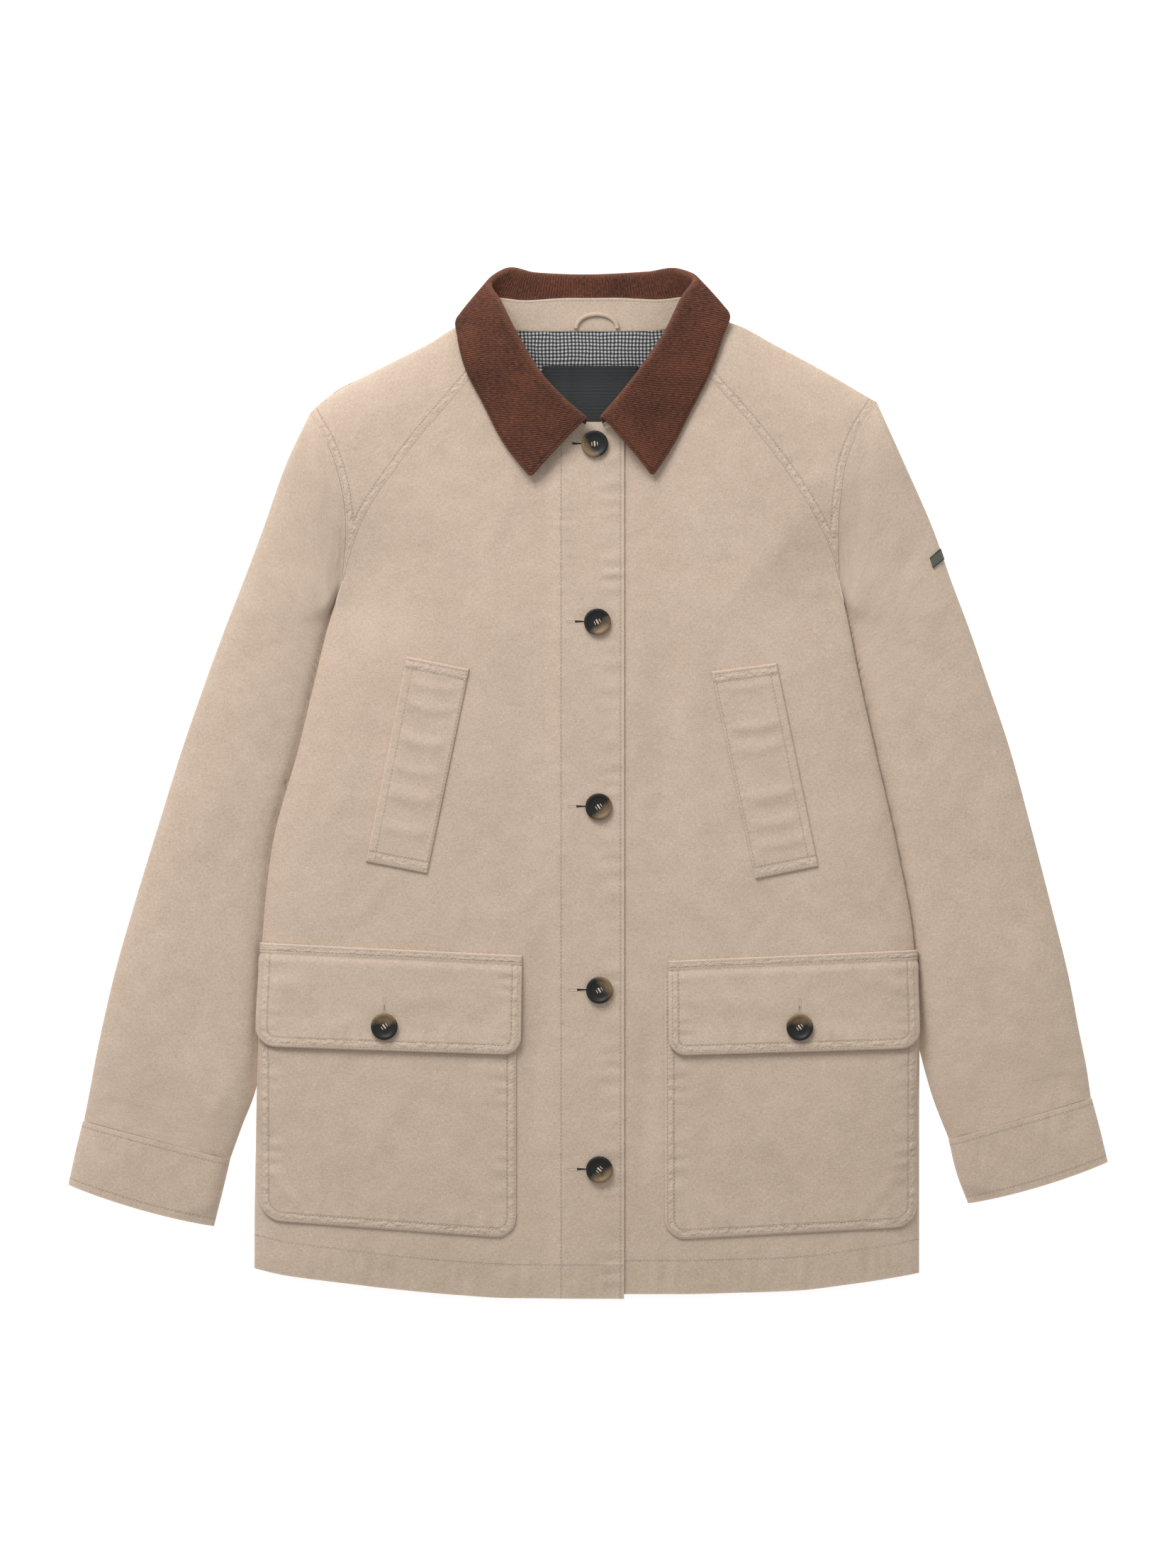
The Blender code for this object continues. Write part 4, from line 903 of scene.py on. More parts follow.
def sleeve_top(x, y, crest, from_outer, from_inner, share, depth):
    """Height of a sleeve's upper face, or of a face this far under it."""
    outside = np.abs(x) - reach(x, y)
    limit = TUCK_THICK + FREE_RISE * roll((outside - FREE_START) / FREE_WIDTH) - depth
    limit = limit + TOP_RISE * ramp(y, FREE_TOP) * ramp(outside, TOP_FROM_BODY)
    inner_roll = between(*INNER_ROLL, ramp(share, (INNER_ROLL_FROM, 1)))
    full = crest - depth + folds(x, y, SLEEVE_FOLDS)
    full = (full + limit - np.sqrt((full - limit) ** 2 + LIMIT_BLEND ** 2)) / 2
    full = np.maximum(full, FOLD_MIDDLE + SEAM) - FOLD_MIDDLE
    return FOLD_MIDDLE + full * roll(from_outer / OUTER_ROLL) * roll(from_inner / inner_roll)


def sleeve_ring(side, rows, share, depth, armhole_share, detail):
    """Points round one section: the upper face out to in, then the lower face back."""
    outer, inner, crest = section_ends(rows, share)
    width = np.linalg.norm(inner - outer)
    points = []
    for shares, upper in ((UPPER, True), (LOWER, False)):
        shares = between(depth / width, 1 - depth / width, shares)
        plan = between(outer[None, :], inner[None, :], shares[:, None])
        if armhole_share > 0:
            seam = curve(ARMHOLE[side], np.append(shares, [0, 1]))
            seam[:, 0] += SIGN[side] * SEAM / 2
            ends = between(seam[-2][None, :], seam[-1][None, :], shares[:, None])
            plan = plan + (seam[:-2] - ends) * armhole_share
        x, y = plan[:, 0], plan[:, 1]
        from_outer, from_inner = shares * width - depth, (1 - shares) * width - depth
        if upper:
            z = sleeve_top(x, y, crest, from_outer, from_inner, share, depth)
            if armhole_share > 0:
                body = np.maximum(front_height(x - SIGN[side] * SEAM, y, depth), FOLD_MIDDLE)
                body = between(FOLD_MIDDLE, body, roll(from_outer / 2))
                z = between(z, body, step(armhole_share))
            in_from_fold = ramp(np.minimum(from_outer, from_inner), PUCKERS_FROM_FOLD)
            z = z + detail(x, y, share) * in_from_fold
        else:
            z = between(FOLD_MIDDLE, depth, roll(np.minimum(from_outer, from_inner) / EDGE_ROLL))
        points.append(np.stack([x, y, z], axis=1))
    return np.concatenate(points)


def tube(name, side, rows, shares, thick, armhole_reach, detail, marks, uv_length, bow=0.0):
    """A laid-flat tube of cloth from sections of a table; bow lowers its mouth's middle."""
    faces = []
    round_shares = np.concatenate([UPPER, LOWER])
    for depth in (0, thick):
        rings = []
        for share in shares:
            start = max(0, 1 - share / armhole_reach) if armhole_reach else 0
            points = sleeve_ring(side, rows, share, depth, start, detail)
            points[:, 1] -= bow * share * 4 * round_shares * (1 - round_shares)
            rings.append(points)
        faces.append(np.array(rings))
    legs = np.linalg.norm(np.diff(faces[0], axis=1, append=faces[0][:, :1]), axis=-1)
    around = np.concatenate([np.zeros((len(shares), 1)), np.cumsum(legs, axis=1)[:, :-1]], axis=1)
    along = np.broadcast_to((shares * uv_length)[:, None], around.shape)
    uv = np.stack([around - around[:, len(UPPER) // 2][:, None], along], axis=-1)
    return cloth(name, *faces, canvas, marks=marks, closed=True, uv=uv)


def sleeve_detail(x, y, share):
    """Puckers at the armhole seam and above the cuff."""
    return (pucker(share * SLEEVE_LENGTH, x + y, *SLEEVE_PUCKERS["armhole"])
            + pucker((1 - share) * SLEEVE_LENGTH, x, *SLEEVE_PUCKERS["cuff"]))


sleeve_shares = spaced(SLEEVE_LENGTH, 3.2) / SLEEVE_LENGTH
for side in SIGN:
    sleeve = tube("sleeve_cloth_" + side, side, SLEEVE[side], sleeve_shares, SHELL, ARMHOLE_REACH,
                  sleeve_detail, None, SLEEVE_LENGTH)
    stands_for(sleeve, "sleeve_" + side, "canvas", flat=(0.24, 0.56), held="laid", area=0.116)


# The sleeve badge: a small dark woven tag, bare, folded over the left sleeve's outer edge.
BADGE_DOWN = (0.199, 0.2155)
BADGE_IN = (0.6, 11)
BADGE_ENDS = (0.0036, 0.0039)    # dark from here out, in metres
BADGE_WEAVE = 0.0008


def badge_finish():
    """Grey-olive tape with dark ends and a fine weave."""
    made, tone, shader = new_finish("badge_tape", 0.5, 0.1)
    _, u, v = woven(tone)
    colour = abs(u).clamped(*BADGE_ENDS).mix((0.075, 0.078, 0.055), (0.008, 0.009, 0.009))
    return surfaced(made, shader, colour, (u.sine(BADGE_WEAVE) + v.sine(BADGE_WEAVE)) * 0.05)


def sleeve_badge():
    distance = spaced(BADGE_IN[1] - BADGE_IN[0], 1.2) + BADGE_IN[0]
    face, uv = [], []
    for share in np.linspace(*BADGE_DOWN, 9):
        outer, inner, crest = section_ends(SLEEVE["left"], share)
        width = np.linalg.norm(inner - outer)
        x, y = between(outer[:, None], inner[:, None], distance[None, :] / width)
        z = sleeve_top(x, y, crest, distance, width - distance, share, 0)
        face.append(np.stack([x, y, z], axis=1))
        along = np.full_like(distance, (share - sum(BADGE_DOWN) / 2) * SLEEVE_LENGTH)
        uv.append(np.stack([along, distance], axis=1))
    face = np.array(face)
    normal = unit(np.cross(np.gradient(face, axis=0), np.gradient(face, axis=1)))
    normal = np.where(normal[..., 2:] < 0, -normal, normal)
    return cloth("badge_cloth", face + normal * (STACK + THIN), face + normal * STACK,
                 badge_finish(), uv=np.array(uv))


stands_for(sleeve_badge(), "sleeve_badge", "badge_plate", flat=(0.01, 0.014), held="folded",
           area=0.00012, rests_on=["sleeve_left"])


# The cuffs: doubled canvas bands sewn round the sleeve ends, stitched once beside the seam and
# once at the mouth.
CUFF = {
    "right": table("outer_x outer_y inner_x inner_y crest",
        (-378.2, -252.1, -267.8, -281.1, 12.8), (-384, -276, -273.5, -305, 12),
        (-389.2, -300, -280, -331, 10.4)),
    "left": table("outer_x outer_y inner_x inner_y crest",
        (377.2, -235.1, 269.8, -266.1, 12.8), (383.5, -259, 275.8, -291, 12),
        (389.2, -283, 284.5, -314, 10.4))}
CUFF_WALL = 2.0
CUFF_BOW = 3
CUFF_DEPTH = 49
CUFF_ROWS = (4.4, CUFF_DEPTH - 5)
CUFF_PUCKERS = ((4, 3.5, 5, 0.2), (11, 8, 13, 0.45), (42, 8, 12, 0.35))
CUFF_WORN = (0.3, 1.6)


def cuff_detail(x, y, share):
    """Puckers along the cuff's two rows and below its seam."""
    return puckers(share * CUFF_DEPTH, x, CUFF_PUCKERS)


cuff_paths = []
cuff_shares = spaced(CUFF_DEPTH, 2.2, CUFF_ROWS) / CUFF_DEPTH
down = np.repeat((cuff_shares * CUFF_DEPTH)[:, None], len(UPPER) + len(LOWER), axis=1)
cuff_marks = {"sewn": np.maximum(*(single_row(down - row) for row in CUFF_ROWS)),
              "worn": 1 - ramp(np.minimum(down, CUFF_DEPTH - down), CUFF_WORN)}
for side in SIGN:
    cuff = tube("cuff_cloth_" + side, side, CUFF[side], cuff_shares, CUFF_WALL, None, cuff_detail,
                cuff_marks, CUFF_DEPTH, CUFF_BOW)
    stands_for(cuff, "cuff_" + side, "canvas", flat=(0.23, 0.052), held="laid", area=0.0119)
    for row in CUFF_ROWS:
        share = row / CUFF_DEPTH
        points = sleeve_ring(side, CUFF[side], share, 0, 0, cuff_detail)[:len(UPPER)]
        points[:, 1] -= CUFF_BOW * share * 4 * UPPER * (1 - UPPER)
        cuff_paths.append(points[2:-2])
stitched("cuff_stitches", cuff_paths)


# The patch pockets: squares of canvas with rounded lower corners, sewn on with two rows down
# the sides and along the bottom.
POCKET = {
    "right": [(-245.5, -134), (-53.5, -141), (-53.5, -340), (-245, -326)],
    "left": [(246, -138), (57, -145), (57.5, -341), (245.5, -331)]}
POCKET_CORNER = 16
POCKET_SIZE = (191, 196)
POCKET_ROWS = (1.8, 7.0)
POCKET_PUCKERS = ((4.4, 3.8, 6.2, 0.4), (10, 7, 13, 0.5))
POCKET_DRAWN = 1.2            # more pucker on the outer side
FOLDED_EDGE, EDGE_ROUND = 0.35, 1.3
PATCH_WORN = (0.2, 1.4)
ROW_SWELL = 0.08              # rise of the cloth between two sewn rows
EXTRA_FROM_RIM, EXTRA_LEAST = (0.8, 3), -0.5
CREASE_FROM_RIM = (4, 14)
STITCH_UP = {"pocket": 0.25, "flap": 0.2, "welt": 0.1}   # off the patch's full thickness
PATCH_EASE = 0.5
EASE_SHARES = (0, 0.2)
OUTER_SHARES = (0.02, 0.12)   # the outer side is drawn up most
POCKET_CREASES = table("x y lean length width rise",
    (-222, -306, -42, 30, 4, 1.7), (-212, -314, -38, 26, 3.5, -1.4), (-150, -250, 24, 60, 10, 0.8),
    (-95, -290, -30, 40, 8, 0.8), (-180, -215, 50, 34, 7, -0.6), (224, -300, 40, 30, 5, 0.8),
    (130, -260, -34, 56, 8, 0.9), (165, -285, -40, 46, 7, -0.8), (190, -240, -30, 46, 8, 0.8),
    (95, -250, 12, 44, 8, -0.6), (100, -322, -56, 26, 5, 0.6), (-100, -325, 50, 24, 5, 0.6))


def patch_plan(corners, radius, shares_down, shares_across):
    """Plan of a patch: rows from its top edge down, its two lower corners rounded."""
    top_a, top_b, low_b, low_a = (np.array(corner, float) for corner in corners)
    height = (np.linalg.norm(top_a - low_a) + np.linalg.norm(top_b - low_b)) / 2
    down = np.asarray(shares_down)[:, None]
    start, end = between(top_a, low_a, down), between(top_b, low_b, down)
    above = np.minimum((1 - down) * height, radius)
    cut = radius - np.sqrt(np.maximum(radius ** 2 - (radius - above) ** 2, 0))
    cut = cut / np.linalg.norm(end - start, axis=1)[:, None]
    shares = between(cut, 1 - cut, np.asarray(shares_across)[None, :])
    return between(start[:, None, :], end[:, None, :], shares[..., None])


def rim_of(plan):
    """The patch's sides and bottom as one line, from the one top corner round to the other."""
    return np.concatenate([plan[:, 0], plan[-1, 1:], plan[-2::-1, -1]])


def inset_line(line, distance):
    """A line moved in from a patch's rim, evenly spaced."""
    whole = lengths(line)[-1]
    line = placed(line, np.linspace(0, whole, int(whole / 2.5)))
    along = unit(np.gradient(line, axis=0))
    normal = np.stack([-along[:, 1], along[:, 0]], axis=1)
    inward = line.mean(axis=0) - line
    normal = normal * np.sign((normal * inward).sum(axis=1).mean())
    return line + normal * distance


def edge_height(inset, thick):
    """Thickness of a patch near its rim, where its folded edge rounds down."""
    return FOLDED_EDGE + (thick - FOLDED_EDGE) * roll(inset / EDGE_ROUND)


def swell(inset, rows):
    """Rise of the cloth between two sewn rows."""
    return ROW_SWELL * np.sin(math.pi * np.clip((inset - rows[0]) / (rows[1] - rows[0]), 0, 1))


def settled(extra, inset):
    """Puckers and creases kept off the very rim, and shallow enough to stay off what lies under."""
    return np.maximum(extra * ramp(inset, EXTRA_FROM_RIM), EXTRA_LEAST)


def patch(kind, side, plan, seat, thick, extra, seam, inset, flat, others=()):
    """A patch on a front, from its plan and the height of its underside over the front."""
    x, y = plan[..., 0], plan[..., 1]
    outer = front_point(side, x, y, seat + edge_height(inset, thick) + extra)
    piece = cloth(f"{kind}_cloth_{side}", outer, front_point(side, x, y, seat), canvas,
                  marks={"sewn": seam, "worn": 1 - ramp(inset, PATCH_WORN)})
    stands_for(piece, f"{kind}_{side}", "canvas", flat=flat, held="laid",
               rests_on=[f"{under}_{side}" for under in ("front", *others)])


pocket_paths = []
for side in SIGN:
    across = spaced(POCKET_SIZE[0], 2.3) / POCKET_SIZE[0]
    down = spaced(POCKET_SIZE[1], 2.3, edges=(False, True)) / POCKET_SIZE[1]
    plan = patch_plan(POCKET[side], POCKET_CORNER, down, across)
    x, y = plan[..., 0], plan[..., 1]
    inset, along = beside(x, y, rim_of(plan))
    near_row, further_in = (puckers(inset, along, [row]) for row in POCKET_PUCKERS)
    outermost = 1 - ramp(np.linspace(0, 1, len(across)), OUTER_SHARES)
    extra = swell(inset, POCKET_ROWS) + near_row * (1 + POCKET_DRAWN * outermost) + further_in
    extra = extra + folds(x, y, POCKET_CREASES) * ramp(inset, CREASE_FROM_RIM)
    patch("pocket", side, plan, STACK + PATCH_EASE * (1 - ramp(across, EASE_SHARES)), SHELL,
          settled(extra, inset), double_row(inset, *POCKET_ROWS), inset, (0.192, 0.2))
    pocket_paths += [front_point(side, *inset_line(rim_of(plan), row).T,
                                 STACK + SHELL + STITCH_UP["pocket"])
                     for row in POCKET_ROWS]
stitched("pocket_stitches", pocket_paths)


# The flaps: doubled canvas over the pockets' mouths. A raised strip along the top is stitched
# down to the front; the sides and the bottom have two rows.
FLAP = {
    "right": [(-243.5, -118.5), (-49, -128), (-50.5, -202.5), (-246, -196)],
    "left": [(244.5, -124), (60, -132), (60.5, -203), (246, -197.5)]}
FLAP_CORNER = 13
FLAP_STEP = (6, 13)
FLAP_BAND_RISE = 0.7
FLAP_CURL = 1.6        # lift of its free edges off the pocket
FLAP_CURL_RIM, FLAP_CURL_TOP = (1, 26), (16, 56)
DOUBLE = 1.8
FLAP_WIDTH = 194
FLAP_ROWS = (2.5, 7.5)
FLAP_PUCKERS = ((5, 3.6, 6.2, 0.36), (11, 7, 12, 0.5))
FLAP_CREASED = (8, 16)      # from the top
STRIP_ROWS = (2.0, 5.6)
STRIP_FOOT = (6.8, 7.7)
STRIP_MARKED = 9
STRIP_PUCKERS = ((4, 4, 8, 0.25),)
ROWS_FROM_TOP = 8           # where the rows of the sides begin
STRIP_STITCHED = (0.008, 0.992)
FLAP_FLAT = {"right": (0.195, 0.079), "left": (0.186, 0.075)}   # metres
FLAP_CREASES = table("x y lean length width rise",
    (-205, -165, 40, 26, 7, -1), (-225, -150, 70, 20, 6, 0.9), (-120, -160, 80, 50, 8, 0.8),
    (-75, -175, 60, 26, 6, -0.8), (-185, -180, 75, 24, 6, 0.8), (205, -160, -40, 26, 7, -1),
    (225, -150, -64, 20, 6, 0.9), (120, -165, -82, 48, 8, 0.8), (80, -175, -50, 24, 6, -0.8),
    (180, -185, -70, 26, 6, 0.8))


def flap_curl(from_rim, from_top):
    return FLAP_CURL * (1 - ramp(from_rim, FLAP_CURL_RIM)) * ramp(from_top, FLAP_CURL_TOP)


flap_paths = []
for side in SIGN:
    top_a, top_b, low_b, low_a = np.array(FLAP[side], float)
    flap_height = float(np.linalg.norm(top_a - low_a))
    down = spaced(flap_height, 1.8, [*STRIP_ROWS, 7.2]) / flap_height
    across = spaced(FLAP_WIDTH, 2.2) / FLAP_WIDTH
    plan = patch_plan(FLAP[side], FLAP_CORNER, down, across)
    x, y = plan[..., 0], plan[..., 1]
    from_rim, along = beside(x, y, rim_of(plan))
    from_top = np.broadcast_to((down * flap_height)[:, None], x.shape)
    inset = np.minimum(from_rim, from_top)
    seat = STACK + (SHELL + STACK) * ramp(from_top, FLAP_STEP)
    seat = seat + PATCH_EASE * (1 - ramp(across, EASE_SHARES)) + flap_curl(from_rim, from_top)
    strip = 1 - ramp(from_top, STRIP_FOOT)
    extra = swell(from_rim, FLAP_ROWS) + puckers(from_rim, along, FLAP_PUCKERS)
    extra = (extra + folds(x, y, FLAP_CREASES)) * (1 - strip) * ramp(from_top, FLAP_CREASED)
    extra = (FLAP_BAND_RISE * strip + settled(extra, inset)
             + puckers(from_top, x, STRIP_PUCKERS) * strip)
    seam = np.where(from_top < STRIP_MARKED, double_row(from_top, *STRIP_ROWS), 0)
    seam = np.maximum(seam, np.where(strip > 0, 0, double_row(from_rim, *FLAP_ROWS)))
    patch("flap", side, plan, seat, DOUBLE, extra, seam, inset, FLAP_FLAT[side], ("pocket",))
    for row in FLAP_ROWS:
        line = inset_line(rim_of(plan), row)
        share = (line[:, 0] - top_a[0]) / (top_b[0] - top_a[0])
        drop = between(top_a[1], top_b[1], share) - line[:, 1]
        line, drop = line[drop > ROWS_FROM_TOP], drop[drop > ROWS_FROM_TOP]
        up = 2 * STACK + SHELL * ramp(drop, FLAP_STEP) + DOUBLE + STITCH_UP["flap"]
        flap_paths.append(front_point(side, *line.T, up + flap_curl(row, drop)))
    top = between(top_a, top_b, np.linspace(*STRIP_STITCHED, 90)[:, None])
    flap_paths += [front_point(side, *(top - [0, row]).T, STACK + DOUBLE + FLAP_BAND_RISE)
                   for row in STRIP_ROWS]
stitched("flap_stitches", flap_paths)


# The hand-warmer welts: doubled bands stitched over the slanted pocket openings, twice across
# each end and down both sides, and drawn into small puckers between.
WELT = {
    "right": [(-135.5, 95.5), (-88.5, 86), (-120, -67), (-166, -58)],
    "left": [(92, 84), (141, 90.5), (172, -61.5), (125, -71)]}
WELT_PUCKERS = {
    "right": [
        (16, 3.5, 0.7), (32, 4, 0.9), (58, 5, 1.2), (80, 4, 0.8), (100, 6, 1.4), (125, 5, 1.0)],
    "left": [(12, 3, 0.6), (43, 4, 0.9), (59, 5, 1.0), (96, 6, 1.4), (117, 5, 1.0), (133, 4, 0.7)]}
WELT_END = (2.2, 8.6)
WELT_SIDE = {"right": (6.2, 1.6), "left": (1.6, 6.2)}   # rows in from the two sides
WELT_BEND = 3.5                # the puckers bow down in the middle
PUCKERED_FROM_END, PUCKERED_FROM_SIDE = (8, 16), (2, 12)
WELT_EDGE_PUCKERS = ((3, 4, 6, 0.22),)
SIDE_STITCHED, END_STITCHED = (0.015, 0.985), (0.03, 0.97)   # shares of the length, the width

welt_paths = []
for side in SIGN:
    top_a, top_b, low_b, low_a = np.array(WELT[side], float)
    length, width = (float(np.linalg.norm(top_a - corner)) for corner in (low_a, top_b))
    across, down = spaced(width, 1.5) / width, spaced(length, 1.7, WELT_END) / length
    plan = patch_plan(WELT[side], 0.01, down, across)
    from_end = np.minimum(down, 1 - down)[:, None] * length
    from_side = (np.minimum(across, 1 - across) * width)[None, :]
    inset = np.minimum(from_end, from_side)
    from_top = down[:, None] * length
    bend = WELT_BEND * np.sin(math.pi * across)[None, :]
    extra = sum(rise * np.exp(-((from_top - place - bend) / reach_out) ** 2)
                for place, reach_out, rise in WELT_PUCKERS[side])
    extra = extra * ramp(from_end, PUCKERED_FROM_END) * ramp(from_side, PUCKERED_FROM_SIDE)
    extra = extra + (puckers(from_side, from_top, WELT_EDGE_PUCKERS)
                     * ramp(inset, EXTRA_FROM_RIM))
    first_row, last_row = WELT_SIDE[side]
    seam = np.maximum(single_row(across * width - first_row),
                      single_row((1 - across) * width - last_row))
    seam = np.maximum(double_row(from_end, *WELT_END), seam[None, :])
    patch("welt", side, plan, STACK, DOUBLE, extra, seam, inset, (0.048, 0.157))
    lines = [(np.full(60, share), np.linspace(*SIDE_STITCHED, 60))
             for share in (first_row / width, 1 - last_row / width)]
    ends = [(np.linspace(*END_STITCHED, 24), np.full(24, row / length)) for row in WELT_END]
    lines += ends + [(share, 1 - drop) for share, drop in ends]
    for share, drop in lines:
        start, end = between(top_a, low_a, drop[:, None]), between(top_b, low_b, drop[:, None])
        line = between(start, end, share[:, None])
        welt_paths.append(front_point(side, *line.T, STACK + DOUBLE + STITCH_UP["welt"]))
stitched("welt_stitches", welt_paths)


# The collar stand and the turned-down corduroy collar. The stand is a canvas band sewn to the
# neck; the collar rises above it as a strip, rolls over and lies as a leaf over the fronts.
COLLAR = table("seam_x seam_y seam_z roll_x roll_y roll_z leaf_x leaf_y leaf_z",
    (-2.5, 266.5, 20.6, -0.5, 272.5, 26.5, -43, 228.5, 23.2),
    (-34, 277.5, 18.2, -20, 289.5, 28.5, -64, 256, 19.4),
    (-55, 293, 17.4, -37, 308.5, 29.5, -79, 285, 18.2),
    (-70, 310, 16.2, -54, 337, 27, -91.5, 309.5, 17.4),
    (-81, 331, 14, -66, 361, 21.5, -97.5, 333, 14.6),
    (-82.5, 351, 8, -73, 375.5, 12.5, -97.6, 348, 8.8),
    (-78, 343.2, 3.8, -62, 384.5, 6.2, -84, 348, 1.25),
    (-52, 339.4, 3.8, -40, 382.2, 5.3, -50, 337, 1.2),
    (-2, 338.8, 3.8, -2, 380.6, 5.2, 0, 333, 1.2), (54, 339.8, 3.8, 44, 382.7, 5.3, 54, 337, 1.2),
    (84, 346, 3.8, 68, 384.5, 6.2, 90, 350, 1.25), (89.5, 354, 8, 79, 379, 12.5, 105, 352, 8.8),
    (87, 331, 14, 70.5, 363.5, 21.5, 99.8, 331, 14.6),
    (76.5, 309, 16.2, 59, 339.5, 27, 91, 306.5, 17.6),
    (62, 292.5, 17.4, 43.5, 315.5, 29.5, 76.5, 278, 18.6),
    (44, 279, 18, 29, 296.5, 28.5, 64.5, 254.5, 19.6),
    (11.5, 266.8, 20.6, 9.5, 273.5, 26.5, 48.5, 229.5, 22.6))
STAND_SHARE = (0.63, 0.54)
STAND_BACK = (0.03, 0.14)
WALE_SHEAR = table("at lean", (0, 0.68), (0.36, 0.68), (0.5, 0), (0.64, -0.75), (1, -0.75))
STRIP_GAP = 0.3
TIP_RADIUS = 3.5
STAND_ROW = 2.2         # below the strip
ROLL_RADIUS = 1.75
LEAF_CROWN = 1.6
LEAF_PROUD = (6, 22)
LEAF_FLOOR = 1.2
WALE = 1.85            # pitch of the corduroy's ribs
STAND_WIDTH = 26
STAND_ENDS = 60        # stations left unstitched at each end
BAND_WORN = (0.2, 1.2)
STAND_EDGE = (0.3, 1.2)     # thinner by, over this far in from its edges
COLLAR_EDGE = (0.55, 1.6)
COLLAR_PUCKERS = ((3, 4, 9, 0.12),)
COLLAR_ROW = 2.2       # in from the leaf's edge
ROLL_COLUMN = 14       # of the collar's grid: the top of its roll
ROLL_WORN = 3.2
RELIEF_FROM = (0.05, 0.4)


def band_line(stations):
    """The collar's rows at stations round the neck, and the frame of its roll."""
    rows = curve(np.stack([COLLAR[key] for key in COLLAR], axis=1), stations)
    seam, top, leaf = rows[:, :3], rows[:, 3:6], rows[:, 6:].copy()
    leaf[:, 2] = np.maximum(leaf[:, 2], LEAF_FLOOR)
    towards = unit(top - (seam + leaf) / 2)
    across = leaf - seam
    across = unit(across - (across * towards).sum(axis=1)[:, None] * towards)
    return seam, top, leaf, towards, across, top - towards * ROLL_RADIUS


def offset_cloth(name, middle, thick, finish, marks, uv, relief=0.0):
    """A cloth wall half its thickness each side of a grid of points, rounded at its edges."""
    normal = unit(np.cross(np.gradient(middle, axis=0), np.gradient(middle, axis=1)))
    half = (thick / 2 + relief)[..., None] if np.ndim(relief) else thick / 2
    return cloth(name, middle + normal * half, middle - normal * thick / 2, finish, marks=marks,
                 uv=uv)


def corduroy_finish():
    """Fine-wale corduroy: dark brown ribs across the band with painted shade in the valleys between
    them and along its sewn row, rubbed paler along the roll.
    """
    made, tone, shader = new_finish("brown_corduroy", 0.92, 0.2,
                                    {"Sheen Tint": (0.75, 0.35, 0.2, 1)})
    place, u, _ = woven(tone)
    worn, sewn = tone.mark("worn"), tone.mark("sewn")
    wander = noise(tone, place, 40, 2) * 0.0006
    rib = (u + wander).sine(WALE * MM) * 0.5 + 0.5
    patches = noise(tone, place, 28, 3)
    pile = noise(tone, place, 900, 2, (1, 0.4, 1))
    lit = patches.clamped(0.32, 0.68) * 0.45 + pile * 2.2 - 0.8
    colour = lit.clamped(0.1, 0.95).mix((0.034, 0.0085, 0.004), (0.17, 0.05, 0.021))
    # Painted shade in the valleys between the wales
    colour = (rib.clamped(0.0, 0.5) * 0.5 + 0.5).mix((0.022, 0.007, 0.004), colour)
    colour = (worn * 0.26).mix(colour, (0.26, 0.12, 0.075))
    # Painted shade in the groove of the sewn row near the leaf's edge
    row = (1 - abs(sewn - 1) * 3).clamped()
    colour = (row * 0.6).mix(colour, (0.02, 0.007, 0.005))
    return surfaced(made, shader, colour, rib * 0.3 + pile * 0.25 + patches * 0.6 - row * 0.3)


def grid_lengths(middle):
    """Arc length along the roll for each station, and across the band for each point."""
    along = lengths(middle[:, middle.shape[1] // 3])
    legs = np.linalg.norm(np.diff(middle, axis=1), axis=-1)
    across = np.concatenate([np.zeros((len(middle), 1)), np.cumsum(legs, axis=1)], axis=1)
    return np.stack([np.broadcast_to(along[:, None], across.shape), across], axis=-1)


stations = np.unique(np.concatenate([np.linspace(0, 1, 361), np.linspace(0, 0.01, 13),
                                     np.linspace(0.99, 1, 13)]))
seam_line, roll_line, leaf_line, towards, across_roll, roll_centre = band_line(stations)
strip_top = roll_centre - across_roll * ROLL_RADIUS
stand_length = np.linalg.norm(strip_top - seam_line, axis=1)[:, None]
stand_share = between(*STAND_SHARE, ramp(np.abs(stations - 0.5), STAND_BACK))[:, None]
stand_end = stand_share - STRIP_GAP / 2 / stand_length
stand_shares = spaced(STAND_WIDTH, 2, [STAND_WIDTH - STAND_ROW]) / STAND_WIDTH
middle = np.stack([between(seam_line, strip_top, share * stand_end) for share in stand_shares],
                  axis=1)
uv = grid_lengths(middle)
from_top = uv[:, -1:, 1] - uv[..., 1]
inset = np.minimum(uv[..., 1], from_top)
stand = offset_cloth("stand_cloth", middle, DOUBLE, canvas,
                     {"sewn": single_row(from_top - STAND_ROW), "worn": 1 - ramp(inset, BAND_WORN)},
                     uv[..., ::-1], -STAND_EDGE[0] * (1 - ramp(inset, (0, STAND_EDGE[1]))))
stands_for(stand, "collar_stand", "canvas", flat=(0.40, 0.026), held="folded", area=0.0079)
row_line = between(seam_line, strip_top, stand_end - STAND_ROW / stand_length)
row_way = unit(np.cross(np.gradient(row_line, axis=0), strip_top - seam_line))
row_way = row_way * np.sign(row_way[:, 2:])
stitched("stand_stitches", [(row_line + row_way * DOUBLE / 2)[STAND_ENDS:-STAND_ENDS]])

